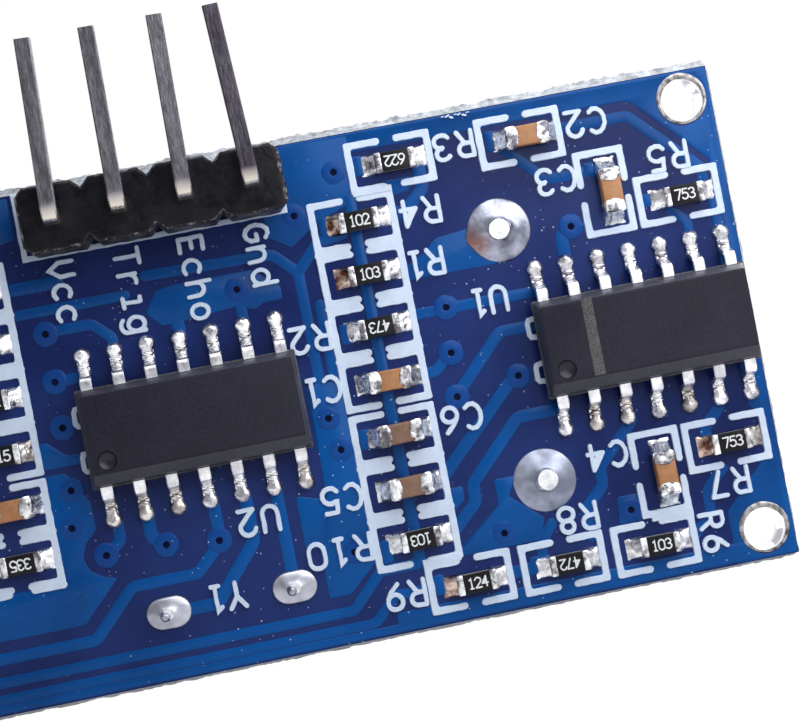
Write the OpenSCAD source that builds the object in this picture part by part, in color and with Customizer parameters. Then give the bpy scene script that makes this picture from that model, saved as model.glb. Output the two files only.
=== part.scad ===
// Ultrasonic distance sensor: a two-transducer ranging board.
// Frame: +Z up towards the header pins, the transducers face -Y, the chips face +Y.
// The origin is the centre of the four mounting holes, on the board's front face.

/* [Board] */
// Width of the board's two faces
board_w = 45; // [44.6:0.1:48]
// Height of the board's two faces
board_h = 19.8; // [19.6:0.1:22]
// Thickness of the laminate
board_t = 1.6; // [1.2:0.1:2]
// How far the broken web of the scored edges stands out past the faces
web_proud = 0.2; // [0.05:0.05:0.3]
// Spacing of the mounting holes across the board
hole_pitch_x = 42.6; // [42:0.1:43]
// Spacing of the mounting holes up the board
hole_pitch_z = 17.4; // [17:0.1:17.8]
// Finished diameter of a mounting hole
hole_d = 1.7; // [1.6:0.05:1.8]
// Diameter of the plated land round a mounting hole
land_d = 2.04; // [1.95:0.01:2.2]

/* [Transducers] */
// Distance between the transmitter's and the receiver's axes
transducer_pitch = 26; // [25:0.1:27]
// Outer diameter of a can
can_d = 16; // [15.6:0.1:16.4]
// Length of a can ahead of the board
can_len = 12; // [11:0.1:13]
// Wall thickness of a can
can_wall = 0.5; // [0.3:0.05:0.8]
// Diameter of the open front of a can
can_mouth_d = 13; // [12:0.1:13.6]
// Spacing of the two terminals of a transducer
terminal_pitch = 10; // [9.8:0.1:10.2]
// Diameter of a terminal
terminal_d = 0.8; // [0.6:0.05:1]

/* [Header] */
// Spacing of the header pins
pin_pitch = 2.54; // [2.5:0.01:2.58]
// Width of a square header pin
pin_w = 0.6; // [0.5:0.01:0.66]
// Height of the pin row above the board's centre
pin_z = 8.56; // [8:0.01:8.8]
// Height of the housing above the board
housing_h = 2.5; // [2.3:0.1:2.6]
// Reach of the bent pins above the pin row
pin_reach = 6.61; // [5:0.01:10]
// Height of the bent legs' centre line above the board
pin_leg_h = 3.4; // [3.1:0.05:4]

/* [Chips] */
// Spacing of the chip leads
lead_pitch = 1.27; // [1.27:0.01:1.27]
// Width of a chip body across its leads
chip_w = 3.9; // [3.8:0.05:4]
// Height of a chip's top face above the board
chip_top = 1.55; // [1.4:0.05:1.7]
// Distance between the toes of opposite leads
chip_span = 6.1; // [5.9:0.05:6.2]

/* [Small parts] */
// Length of a chip resistor or capacitor
chip_part_l = 1.6; // [1.5:0.05:1.7]
// Width of a chip resistor or capacitor
chip_part_w = 0.8; // [0.75:0.05:0.85]
// Thickness of a chip resistor
resistor_t = 0.45; // [0.4:0.01:0.5]
// Thickness of a chip capacitor
capacitor_t = 0.8; // [0.5:0.05:0.85]
// Spacing of the crystal's two leads
crystal_pitch = 5; // [4.8:0.02:5.1]
// Length of the crystal can
crystal_l = 10.6; // [10:0.1:10.8]
// Width of the crystal can
crystal_w = 4.2; // [4:0.1:4.4]
// Height of the crystal above the board's front face
crystal_h = 3.6; // [3.4:0.1:4.2]

/* [Hidden] */
$fn = 64;

// Overlap that keeps a cut clear of a face
eps = 0.01;

// Depth of each score as a share of the board's thickness
score_share = 0.32;

// Mounting holes
plating_t = 0.035;
plating_proud = 0.05;

// Transducer axes and terminals
transmitter_x = transducer_pitch / 2;
receiver_x = -transducer_pitch / 2;
terminal_z = terminal_pitch / 2;
terminal_hole_d = terminal_d + 0.2;
terminal_tail = 0.95;
terminal_head = 3;

// Stack inside a can, as distances ahead of the board
base_t = 2;
damper_top = 4;
piezo_top = 4.3;
plate_top = 4.6;
cone_top = 8.2;
can_inner_r = can_d / 2 - can_wall;
screen_t = 0.3;
screen_pitch = 1.3;
screen_gap = 0.9;

// Header row
pin_hole_d = 1;
pin_tail = 1.2;
pin_bend_r = 0.35;
// Each pin is turned a little in its hole, so its leg leans this many degrees towards -X
pin_leans = [2.3, 1, 1.2, -2.4];
cell_chamfer = 0.3;

// Chip package
chip_standoff = 0.15;
chip_parting = 0.8;
chip_long_draft = 0.28;
chip_end_draft = 0.2;
chip_low_draft = 0.1;
chip_bevel = 0.3;
lead_w = 0.42;
lead_t = 0.2;
dimple_d = 0.8;
dimple_depth = 0.1;
chip_14_l = 8.65;
chip_16_l = 9.9;
amplifier_x = -18;
controller_x = 0.08;
driver_x = 17.4;

// Crystal
crystal_z = -7.22;
crystal_flange = 0.2;
crystal_base_t = 0.5;
crystal_wall = 0.25;
crystal_lead_d = 0.43;
crystal_hole_d = 0.7;
crystal_tail = 0.5;

// Rows of small parts beside the middle chip
column_x = 7.7;
column_top = 6.4;
column_pitch = 2.125;
end_x = 20.6;
end_z = 5;
upright_x = 17.75;
upright_z = 5.7;
edge_row_z = 8.45;
part_end = 0.3;
part_skin = 0.02;

// Puts a shape drawn rising from z = 0 on the board's back face
module on_back(x, z) {
    translate([x, board_t, z]) rotate([-90, 0, 0]) children();
}

// Puts a shape drawn rising from z = 0 on the board's front face
module on_front(x, z) {
    translate([x, 0, z]) rotate([90, 0, 0]) children();
}

// Repeats a shape at the four mounting holes
module at_mounting_holes() {
    for (x = [-1, 1], z = [-1, 1])
        translate([x * hole_pitch_x / 2, 0, z * hole_pitch_z / 2]) children();
}

// Repeats a shape at the two terminals of a transducer
module at_terminals(x) {
    for (side = [-1, 1])
        translate([x, 0, side * terminal_z]) children();
}

// Repeats a shape at the two crystal leads
module at_crystal_leads() {
    for (side = [-1, 1])
        translate([side * crystal_pitch / 2, 0, crystal_z]) children();
}

// X of header pin i, counted from the supply pin
function pin_x(i) = (1.5 - i) * pin_pitch;

// Z of row i in the columns of small parts
function column_z(i) = column_top - i * column_pitch;

// Cylinder along Y between two y values
module rod_y(r, y0, y1) {
    translate([0, y0, 0]) rotate([-90, 0, 0]) cylinder(h = y1 - y0, r = r);
}

// Stadium outline
module stadium(l, w) {
    square([l - w, w], center = true);
    for (side = [-1, 1])
        translate([side * (l - w) / 2, 0]) circle(d = w);
}

// ---- Board ----

// Section through the board: two faces and the web that the scores leave between them
module scored_section(w) {
    half = w / 2;
    web = half + web_proud;
    score = board_t * score_share;
    polygon([[-half, 0], [half, 0], [web, score], [web, board_t - score],
        [half, board_t], [-half, board_t], [-web, board_t - score], [-web, score]]);
}

module circuit_board() {
    reach = board_w + board_h;
    color("midnightblue") difference() {
        intersection() {
            linear_extrude(reach, center = true) scored_section(board_w);
            rotate([0, -90, 0]) linear_extrude(reach, center = true) scored_section(board_h);
        }
        at_mounting_holes() rod_y(hole_d / 2 + plating_t, -eps, board_t + eps);
        for (x = [transmitter_x, receiver_x])
            at_terminals(x) rod_y(terminal_hole_d / 2, -eps, board_t + eps);
        for (i = [0:3])
            translate([pin_x(i), 0, pin_z]) rod_y(pin_hole_d / 2, -eps, board_t + eps);
        at_crystal_leads() rod_y(crystal_hole_d / 2, -eps, board_t + eps);
    }
}

// Plated barrel of a mounting hole, with its two lands
module hole_platings() {
    color("silver") at_mounting_holes() difference() {
        union() {
            rod_y(hole_d / 2 + plating_t, 0, board_t);
            rod_y(land_d / 2, -plating_proud, 0);
            rod_y(land_d / 2, board_t, board_t + plating_proud);
        }
        rod_y(hole_d / 2, -1, board_t + 1);
    }
}

// ---- Header ----

// Outline of the housing: four square cells with cut corners
module housing_outline() {
    half = pin_pitch / 2;
    c = cell_chamfer;
    for (i = [0:3])
        translate([pin_x(i), 0])
            polygon([[-half, c - half], [c - half, -half], [half - c, -half],
                [half, c - half], [half, half - c], [half - c, half],
                [c - half, half], [-half, half - c]]);
}

module header_housing() {
    color("#1c1c20") on_back(0, pin_z) linear_extrude(housing_h) difference() {
        housing_outline();
        for (i = [0:3])
            translate([pin_x(i), 0]) rotate(-pin_leans[i]) square(pin_w, center = true);
    }
}

// Square pin: a straight post through the board, a bend and a leg towards +Z
module header_pin(i) {
    bend = pin_bend_r + pin_w / 2;
    bend_y = board_t + pin_leg_h - bend;
    leg_l = pin_reach - bend;
    half = pin_w / 2;
    color("#b0a79a") translate([pin_x(i), 0, pin_z]) rotate([0, -pin_leans[i], 0]) {
        translate([-half, -pin_tail, -half]) cube([pin_w, pin_tail + bend_y, pin_w]);
        translate([0, bend_y, bend]) rotate([0, 90, 0]) rotate_extrude(angle = 90)
            translate([bend, 0]) square(pin_w, center = true);
        translate([-half, bend_y + bend - half, bend]) cube([pin_w, pin_w, leg_l]);
    }
}

// Solder cones round the pin tails on the front face
module header_solder() {
    color("lightgray") for (i = [0:3]) on_front(pin_x(i), pin_z) difference() {
        cylinder(h = 0.9, r1 = 0.85, r2 = 0.5);
        rotate([0, 0, pin_leans[i]])
            translate([-pin_w / 2, -pin_w / 2, -1]) cube([pin_w, pin_w, 3]);
    }
}

// ---- Chips ----

// Thin rectangle that a chip body is hulled from
module chip_slice(l, w, z) {
    translate([-l / 2, -w / 2, z]) cube([l, w, eps]);
}

// Moulded chip body with sloped sides and a pin-one dimple
module chip_body(l) {
    low = 2 * chip_low_draft;
    difference() {
        hull() {
            chip_slice(l - low, chip_w - low, chip_standoff);
            chip_slice(l, chip_w, chip_parting);
            chip_slice(l - chip_end_draft, chip_w - chip_long_draft, (chip_parting + chip_top) / 2);
            translate([0, -chip_bevel / 2, 0])
                chip_slice(l - 2 * chip_end_draft, chip_w - 2 * chip_long_draft - chip_bevel, chip_top - eps);
        }
        translate([l / 2 - 0.85, 0.85, chip_top - dimple_depth])
            cylinder(h = 1, d = dimple_d, $fn = 32);
    }
}

// Side profile of one gull-wing lead, from the body outwards
module lead_profile() {
    toe = chip_span / 2;
    knee = chip_w / 2 + 0.35;
    heel = knee + 0.26;
    mid = chip_parting;
    half = lead_t / 2;
    polygon([[chip_w / 2, mid + half], [knee + 0.06, mid + half], [heel + 0.06, lead_t],
        [toe, lead_t], [toe, 0], [heel - 0.08, 0], [knee - 0.08, mid - half],
        [chip_w / 2, mid - half]]);
}

// Two rows of leads
module chip_leads(per_side) {
    for (side = [0, 180], i = [0:per_side - 1])
        rotate([0, 0, side]) translate([(i - (per_side - 1) / 2) * lead_pitch, 0, 0])
            rotate([90, 0, 90]) linear_extrude(lead_w, center = true) lead_profile();
}

module amplifier_body() {
    color("#2b2a2e") on_back(amplifier_x, 0) chip_body(chip_14_l);
}

module amplifier_leads() {
    color("silver") on_back(amplifier_x, 0) chip_leads(7);
}

module controller_body() {
    color("#2b2a2e") on_back(controller_x, 0) chip_body(chip_14_l);
}

module controller_leads() {
    color("silver") on_back(controller_x, 0) chip_leads(7);
}

module driver_body() {
    color("#2b2a2e") on_back(driver_x, 0) chip_body(chip_16_l);
}

module driver_leads() {
    color("silver") on_back(driver_x, 0) chip_leads(8);
}

// ---- Transistor ----

transistor_x = 14.85;
transistor_l = 2.9;
transistor_w = 1.3;
transistor_h = 1;
transistor_lead_w = 0.42;
transistor_lead_x = 0.95;

module transistor_body() {
    color("#2b2a2e") on_back(transistor_x, edge_row_z - 0.1)
        translate([-transistor_l / 2, -transistor_w / 2, 0.1])
            cube([transistor_l, transistor_w, transistor_h - 0.1]);
}

// Foot and riser of one transistor lead, reaching towards +Y
module transistor_lead() {
    y0 = transistor_w / 2;
    rotate([90, 0, 90]) linear_extrude(transistor_lead_w, center = true)
        polygon([[y0, 0.6], [y0 + 0.2, 0.6], [y0 + 0.35, 0.12], [y0 + 0.6, 0.12],
            [y0 + 0.6, 0], [y0 + 0.25, 0], [y0 + 0.1, 0.48], [y0, 0.48]]);
}

module transistor_leads() {
    color("silver") on_back(transistor_x, edge_row_z - 0.1) {
        transistor_lead();
        for (side = [-1, 1])
            rotate([0, 0, 180]) translate([side * transistor_lead_x, 0, 0]) transistor_lead();
    }
}

// ---- Crystal ----

module crystal_can() {
    h = crystal_h - crystal_base_t;
    color("lightsteelblue") on_front(0, crystal_z) translate([0, 0, crystal_base_t]) difference() {
        linear_extrude(h) stadium(crystal_l, crystal_w);
        translate([0, 0, -1]) linear_extrude(h + 1 - crystal_wall)
            stadium(crystal_l - 2 * crystal_wall, crystal_w - 2 * crystal_wall);
    }
}

module crystal_base() {
    color("silver") on_front(0, crystal_z) difference() {
        linear_extrude(crystal_base_t)
            stadium(crystal_l + 2 * crystal_flange, crystal_w + 2 * crystal_flange);
        for (side = [-1, 1])
            translate([side * crystal_pitch / 2, 0, -1]) cylinder(h = 3, d = crystal_lead_d);
    }
}

// Two leads, each with the spring clip that holds one end of the blank
module crystal_leads() {
    clip_y = -1.1;
    clip_l = 1.2;
    color("silver") at_crystal_leads() rod_y(crystal_lead_d / 2, clip_y, board_t + crystal_tail);
    color("silver") for (side = [0, 1])
        translate([0, 0, crystal_z]) mirror([side, 0, 0]) translate([crystal_pitch / 2, clip_y, 0]) {
            translate([0, -0.15, -0.5]) cube([clip_l, 0.15, 1]);
            for (z = [-0.4, 0.25])
                translate([clip_l - 0.3, -1.15, z]) cube([0.3, 1, 0.15]);
        }
}

// Strip of quartz held between the clips
module quartz_blank() {
    color("aliceblue") translate([-3.9, -3.05, crystal_z - 0.25]) cube([7.8, 1.8, 0.5]);
}

// Oval solder mounds round the crystal leads on the back face
module crystal_solder() {
    color("lightgray") at_crystal_leads() on_back(0, 0) difference() {
        union() {
            linear_extrude(0.15) stadium(1.8, 1.3);
            linear_extrude(0.28) stadium(1.3, 0.9);
        }
        translate([0, 0, -1]) cylinder(h = 3, d = crystal_lead_d);
    }
}

// ---- Transducers: each module takes the x of the transducer's axis ----

// Drawn cup, open at the back, with a flanged mouth at the front
module can(x) {
    color("silver") on_front(x, 0) difference() {
        cylinder(h = can_len, d = can_d);
        translate([0, 0, -1]) cylinder(h = can_len + 1 - can_wall, r = can_inner_r);
        cylinder(h = can_len + 1, d = can_mouth_d);
    }
}

// Woven screen behind the mouth, drawn as a plate with square openings
module screen(x) {
    steps = floor(can_mouth_d / 2 / screen_pitch);
    reach = can_mouth_d / 2 - screen_gap / 2;
    color("dimgray") on_front(x, 0) translate([0, 0, can_len - can_wall - screen_t]) difference() {
        cylinder(h = screen_t, r = can_inner_r);
        for (i = [-steps:steps], j = [-steps:steps])
            if (norm([i, j]) * screen_pitch < reach)
                translate([i * screen_pitch, j * screen_pitch, screen_t / 2])
                    cube([screen_gap, screen_gap, 1], center = true);
    }
}

// Conical horn on the vibrating plate
module cone(x) {
    wall = 0.25;
    color("gainsboro") on_front(x, 0) rotate_extrude()
        polygon([[0, plate_top], [1, plate_top], [1, plate_top + 0.4], [5, cone_top],
            [5 - wall, cone_top], [0.9, plate_top + wall + 0.35], [0, plate_top + wall + 0.35]]);
}

module plate(x) {
    color("silver") on_front(x, 0) translate([0, 0, piezo_top])
        cylinder(h = plate_top - piezo_top, r = 5);
}

module piezo(x) {
    color("khaki") on_front(x, 0) translate([0, 0, damper_top])
        cylinder(h = piezo_top - damper_top, r = 4);
}

// Ring of soft silicone that carries the piezo disc
module damper(x) {
    color("white") on_front(x, 0) translate([0, 0, base_t]) difference() {
        cylinder(h = damper_top - base_t, r = 3.4);
        translate([0, 0, -1]) cylinder(h = 4, r = 2.4);
    }
}

// Moulded base that closes the back of the can
module base(x) {
    color("#26262a") on_front(x, 0) difference() {
        cylinder(h = base_t, r = can_inner_r);
        for (side = [-1, 1])
            translate([0, side * terminal_z, -1]) cylinder(h = 4, d = terminal_d);
    }
}

module terminals(x) {
    color("silver") at_terminals(x) rod_y(terminal_d / 2, -terminal_head, board_t + terminal_tail);
}

// Fine wires from the terminal heads to the rim of the piezo disc
module wires(x) {
    r = 0.1;
    rise = (damper_top + piezo_top) / 2;
    color("goldenrod") for (side = [-1, 1]) {
        translate([x, 0, side * terminal_z]) rod_y(r, -rise, -terminal_head);
        translate([x, -rise, side * terminal_z]) sphere(r = r, $fn = 24);
        translate([x, -rise, 0]) rotate([side > 0 ? 0 : 180, 0, 0]) translate([0, 0, 4])
            cylinder(h = terminal_z - 4, r = r);
    }
}

// Solder mounds round the four terminals on the back face
module transducer_solder() {
    r = terminal_d / 2;
    color("lightgray") for (x = [transmitter_x, receiver_x])
        at_terminals(x) on_back(0, 0) rotate_extrude()
            polygon([[r, 0], [1.3, 0], [1.26, 0.12], [1.05, 0.3], [0.75, 0.45], [r, 0.55]]);
}

module transmitter_can() { can(transmitter_x); }
module transmitter_screen() { screen(transmitter_x); }
module transmitter_cone() { cone(transmitter_x); }
module transmitter_plate() { plate(transmitter_x); }
module transmitter_piezo() { piezo(transmitter_x); }
module transmitter_damper() { damper(transmitter_x); }
module transmitter_base() { base(transmitter_x); }
module transmitter_terminals() { terminals(transmitter_x); }
module transmitter_wires() { wires(transmitter_x); }
module receiver_can() { can(receiver_x); }
module receiver_screen() { screen(receiver_x); }
module receiver_cone() { cone(receiver_x); }
module receiver_plate() { plate(receiver_x); }
module receiver_piezo() { piezo(receiver_x); }
module receiver_damper() { damper(receiver_x); }
module receiver_base() { base(receiver_x); }
module receiver_terminals() { terminals(receiver_x); }
module receiver_wires() { wires(receiver_x); }

// ---- Chip resistors and capacitors ----

// Block with a slightly larger metal cap on each end
module two_ended(t) {
    translate([-chip_part_l / 2 + part_skin, -chip_part_w / 2 + part_skin, part_skin])
        cube([chip_part_l - 2 * part_skin, chip_part_w - 2 * part_skin, t - 2 * part_skin]);
    for (x = [-chip_part_l / 2, chip_part_l / 2 - part_end])
        translate([x, -chip_part_w / 2, 0]) cube([part_end, chip_part_w, t]);
}

module resistor(x, z) {
    color("#30302f") on_back(x, z) two_ended(resistor_t);
}

module capacitor(x, z, turn = 0) {
    color("#b98046") on_back(x, z) rotate([0, 0, turn]) two_ended(capacitor_t);
}

module resistor_r1() { resistor(-column_x, column_z(1)); }
module resistor_r2() { resistor(-column_x, column_z(2)); }
module resistor_r3() { resistor(-9.55, edge_row_z); }
module resistor_r4() { resistor(-column_x, column_z(0)); }
module resistor_r5() { resistor(-end_x, end_z); }
module resistor_r6() { resistor(-17, -edge_row_z); }
module resistor_r7() { resistor(-end_x, -end_z); }
module resistor_r8() { resistor(-13.3, -edge_row_z); }
module resistor_r9() { resistor(-9.55, -edge_row_z); }
module resistor_r10() { resistor(-column_x, column_z(6)); }
module capacitor_c1() { capacitor(-column_x, column_z(3)); }
module capacitor_c2() { capacitor(-14.85, edge_row_z); }
module capacitor_c3() { capacitor(-upright_x, upright_z, 90); }
module capacitor_c4() { capacitor(-upright_x, -upright_z, 90); }
module capacitor_c5() { capacitor(-column_x, column_z(5)); }
module capacitor_c6() { capacitor(-column_x, column_z(4)); }

// Resistors between the controller and the driver, and at the driver's end
module driver_side_resistors() {
    for (i = [0, 1, 2, 3, 5])
        resistor(column_x, column_z(i));
    resistor(9.55, edge_row_z);
    resistor(13.3, -edge_row_z);
}

// Capacitors between the controller and the driver, and round the driver
module driver_side_capacitors() {
    capacitor(column_x, column_z(4));
    for (side = [-1, 1]) {
        capacitor(end_x, side * end_z);
        capacitor(upright_x, side * upright_z, 90);
    }
}

circuit_board();
hole_platings();
header_housing();
header_pin(0);  // header_pin_supply
header_pin(1);  // header_pin_trigger
header_pin(2);  // header_pin_echo
header_pin(3);  // header_pin_ground
header_solder();
amplifier_body();
amplifier_leads();
controller_body();
controller_leads();
driver_body();
driver_leads();
transistor_body();
transistor_leads();
crystal_can();
crystal_base();
crystal_leads();
quartz_blank();
crystal_solder();
transmitter_can();
transmitter_screen();
transmitter_cone();
transmitter_plate();
transmitter_piezo();
transmitter_damper();
transmitter_base();
transmitter_terminals();
transmitter_wires();
receiver_can();
receiver_screen();
receiver_cone();
receiver_plate();
receiver_piezo();
receiver_damper();
receiver_base();
receiver_terminals();
receiver_wires();
transducer_solder();
resistor_r1();
resistor_r2();
resistor_r3();
resistor_r4();
resistor_r5();
resistor_r6();
resistor_r7();
resistor_r8();
resistor_r9();
resistor_r10();
capacitor_c1();
capacitor_c2();
capacitor_c3();
capacitor_c4();
capacitor_c5();
capacitor_c6();
driver_side_resistors();
driver_side_capacitors();
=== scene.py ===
"""Ultrasonic distance sensor: looks of the ranging board, seen from its chip side.

Shapes are drawn in board millimetres: u to the right, v up and w out of the face,
as that face is looked at. BACK is the face with the chips, FRONT the one with the cans.
"""
import math

import bmesh
import bpy
from mathutils import Matrix, Vector, noise
from mathutils.geometry import tessellate_polygon


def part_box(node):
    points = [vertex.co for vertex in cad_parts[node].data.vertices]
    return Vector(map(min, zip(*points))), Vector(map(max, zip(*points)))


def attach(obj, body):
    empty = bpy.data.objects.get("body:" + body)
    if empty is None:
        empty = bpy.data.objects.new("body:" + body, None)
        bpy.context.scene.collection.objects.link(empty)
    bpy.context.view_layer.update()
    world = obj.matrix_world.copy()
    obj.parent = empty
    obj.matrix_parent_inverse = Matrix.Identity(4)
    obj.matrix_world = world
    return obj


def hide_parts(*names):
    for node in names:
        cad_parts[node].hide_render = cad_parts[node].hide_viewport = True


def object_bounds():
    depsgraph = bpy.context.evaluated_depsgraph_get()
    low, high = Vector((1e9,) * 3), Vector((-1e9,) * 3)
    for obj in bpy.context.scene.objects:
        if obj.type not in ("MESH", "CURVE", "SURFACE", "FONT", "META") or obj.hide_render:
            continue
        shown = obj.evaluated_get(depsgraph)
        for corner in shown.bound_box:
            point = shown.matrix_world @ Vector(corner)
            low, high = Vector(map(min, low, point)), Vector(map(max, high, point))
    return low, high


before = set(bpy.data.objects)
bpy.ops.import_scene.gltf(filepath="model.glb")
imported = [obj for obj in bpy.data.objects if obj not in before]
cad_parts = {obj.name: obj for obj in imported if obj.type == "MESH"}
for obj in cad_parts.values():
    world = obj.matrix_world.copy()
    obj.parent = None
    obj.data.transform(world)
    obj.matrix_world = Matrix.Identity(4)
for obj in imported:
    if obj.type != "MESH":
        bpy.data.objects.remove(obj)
cad_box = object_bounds()
noise.seed_set(7)

MM = 0.001
BOARD_LOW, BOARD_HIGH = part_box("circuit_board")
THICK = (BOARD_HIGH[1] - BOARD_LOW[1]) / MM
BACK, FRONT = "back", "front"


# ---------------------------------------------------------------- placing

def place(side, u, v, w):
    """Board millimetres to metres in the frame."""
    if side == BACK:
        return Vector((-u, THICK + w, v)) * MM
    return Vector((u, -w, v)) * MM


def centre(node):
    """A node's middle (u, v) on the chip side, and its size."""
    low, high = (Vector(corner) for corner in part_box(node))
    mid = (low + high) / 2 / MM
    return -mid.x, mid.z, (high - low) / MM


HEADER_V = centre("header_housing")[1]


def uneven(x, y, z):
    """Smooth noise between -1 and 1, the same in each run."""
    return noise.noise(Vector((x, y, z)))


class Shape:
    """Collects closed surfaces and makes one mesh object of them."""

    def __init__(self, side=BACK, rag=0.0, weld=False):
        self.side, self.verts, self.faces, self.slots = side, [], [], []
        self.lift, self.rag, self.weld = 0.0, rag, weld

    def step(self):
        """A small rise that keeps overlapping flat pieces apart."""
        self.lift += 0.0004
        return self.lift

    def add(self, verts, faces, slots):
        """Adds faces. slots is their material slot, or a list with one for each face."""
        base = len(self.verts)
        self.verts += [tuple(p) for p in verts]
        self.faces += [tuple(base + i for i in f) for f in faces]
        self.slots += slots if isinstance(slots, list) else [slots] * len(faces)

    def rings(self, rings, slot=0, caps=True, slots=None):
        """Skins closed rings of equal length, with a cap at each end. slots has one for each band."""
        n, bands = len(rings[0]), len(rings) - 1
        slots = slots or [slot] * bands
        faces, face_slots = [], []
        for k in range(bands):
            for i in range(n):
                j = (i + 1) % n
                faces.append((k * n + i, k * n + j, (k + 1) * n + j, (k + 1) * n + i))
                face_slots.append(slots[k])
        if caps:
            faces += [tuple(reversed(range(n))), tuple(range(bands * n, bands * n + n))]
            face_slots += [slots[0], slots[-1]]
        self.add([p for ring in rings for p in ring], faces, face_slots)

    def pierced(self, loops, slot=0):
        """A flat face inside the first loop, with the other loops as its holes."""
        loops = [[Vector(p) for p in loop] for loop in loops]
        self.add([p for loop in loops for p in loop], tessellate_polygon(loops), slot)

    def make(self, name, materials, slot_name, nodes=(), smooth=40):
        """Makes the piece, which stands for those CAD nodes. Edges over smooth degrees stay sharp."""
        mesh = bpy.data.meshes.new(name)
        mesh.from_pydata([place(self.side, *p) for p in self.verts], [], self.faces)
        for m in materials:
            mesh.materials.append(m)
        mesh.polygons.foreach_set("material_index", self.slots)
        mesh.update()
        work = bmesh.new()
        work.from_mesh(mesh)
        if self.weld:
            bmesh.ops.remove_doubles(work, verts=work.verts, dist=1e-8)
        bmesh.ops.recalc_face_normals(work, faces=work.faces)
        work.to_mesh(mesh)
        work.free()
        mesh.shade_smooth()
        mesh.set_sharp_from_angle(angle=math.radians(smooth))
        piece = bpy.data.objects.new(name, mesh)
        bpy.context.scene.collection.objects.link(piece)
        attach(piece, "root")
        if nodes:
            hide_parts(*nodes)


# ---------------------------------------------------------------- outlines

def arc(cx, cy, rx, ry, a0, a1, n=8):
    """Points on an ellipse, from angle a0 to a1 in degrees."""
    angles = [math.radians(a0 + (a1 - a0) * i / n) for i in range(n + 1)]
    return [(cx + rx * math.cos(a), cy + ry * math.sin(a)) for a in angles]


def circle(cx, cy, r, n):
    """n points round a circle."""
    return arc(cx, cy, r, r, 0, 360 - 360 / n, n - 1)


def edges(outline):
    """The sides of a closed outline, each as its two ends."""
    return zip(outline, outline[1:] + outline[:1])


def corners(outline):
    """The points of a closed outline, each between its neighbours."""
    return zip(outline[-1:] + outline[:-1], outline, outline[1:] + outline[:1])


def curve(a, p, b, r, share, n):
    """A curve of n steps round the corner at p, cutting off r or that share of its sides."""
    a, p, b = Vector(a), Vector(p), Vector(b)
    cut = min(r, (a - p).length * share, (b - p).length * share)
    a, b = p + (a - p).normalized() * cut, p + (b - p).normalized() * cut
    return [a * (1 - k / n) ** 2 + p * 2 * (k / n) * (1 - k / n) + b * (k / n) ** 2 for k in range(n + 1)]


def rounded(outline, r, n=4):
    """A polygon with its corners rounded to radius r."""
    return [tuple(q) for a, p, b in corners(outline) for q in curve(a, p, b, r, 0.45, n)]


def inset(outline, d):
    """The outline moved inwards by d (anticlockwise outlines)."""
    out = []
    for a, p, b in corners(outline):
        a, p, b = Vector(a), Vector(p), Vector(b)
        na = Vector((-(p - a).y, (p - a).x)).normalized()
        nb = Vector((-(b - p).y, (b - p).x)).normalized()
        m = na + nb
        m = m / max(m.dot(m) / 2, 0.35)
        out.append(tuple(p + m * d))
    return out


def area(outline):
    """Area inside an outline, negative when it runs clockwise."""
    return sum(a[0] * b[1] - b[0] * a[1] for a, b in edges(outline)) / 2


def stroke(points, width, cap=6):
    """Outline of a line of that width with round ends."""
    pts = [Vector(p) for p in points]
    half = width / 2
    left, right = [], []
    for i, p in enumerate(pts):
        before = (p - pts[i - 1] if i else pts[1] - p).normalized()
        after = (pts[i + 1] - p).normalized() if i < len(pts) - 1 else before
        both = before + after
        mitre = max(math.sqrt(max((1 + before.dot(after)) / 2, 0)), 0.5)
        m = Vector((-both.y, both.x)).normalized() * half / mitre
        left.append(tuple(p + m))
        right.append(tuple(p - m))
    start, end = (math.degrees(math.atan2(d.y, d.x)) for d in (pts[1] - pts[0], pts[-1] - pts[-2]))
    out = right + arc(*pts[-1], half, half, end - 90, end + 90, cap)[1:-1]
    return out + left[::-1] + arc(*pts[0], half, half, start + 90, start + 270, cap)[1:-1]


def ragged(outline, amount, step=0.11):
    """The outline with a point at each step, each moved a little by seeded noise."""
    out = []
    for a, b in edges(outline):
        a, b = Vector(a), Vector(b)
        n = max(1, int((b - a).length / step))
        for i in range(n):
            p = a + (b - a) * i / n
            shift = noise.noise_vector(Vector((p.x * 2.6, p.y * 2.6, 3.3)))
            shift += 0.5 * noise.noise_vector(Vector((p.x * 7, p.y * 7, 1.1)))
            out.append((p.x + shift.x * amount, p.y + shift.y * amount))
    return out


def turned(points, angle, origin):
    """Points turned by an angle in degrees and moved to origin."""
    c, s = math.cos(math.radians(angle)), math.sin(math.radians(angle))
    return [(origin[0] + x * c - y * s, origin[1] + x * s + y * c) for x, y in points]


def rectangle(du, dv):
    """A rectangle round the origin."""
    return [(-du / 2, -dv / 2), (du / 2, -dv / 2), (du / 2, dv / 2), (-du / 2, dv / 2)]


# ---------------------------------------------------------------- solids

def plate(shape, outline, w0, w1, edge=0.02, slot=0, holes=()):
    """A closed flat solid whose top edge slopes in by edge, with round holes (u, v, radius)."""
    if area(outline) < 0:
        outline = outline[::-1]
    if shape.rag:
        outline = ragged(outline, shape.rag)
    w1 += shape.step()
    mid = w0 + (w1 - w0) * 0.45
    top = inset(outline, edge)
    rings = [[(*p, w0) for p in outline], [(*p, mid) for p in outline], [(*p, w1) for p in top]]
    if not holes:
        shape.rings(rings, slot)
        return
    wells = []
    for u, v, r in holes:
        wells.append([[(*p, w) for p in circle(u, v, reach, 40)]
                      for reach, w in ((r + edge, w1), (r, mid), (r, w0))])
    shape.pierced([rings[0]] + [well[2] for well in wells], slot)
    shape.pierced([rings[2]] + [well[0] for well in wells], slot)
    for wall in [rings] + wells:
        shape.rings(wall, slot, caps=False)
    shape.weld = True


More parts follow.
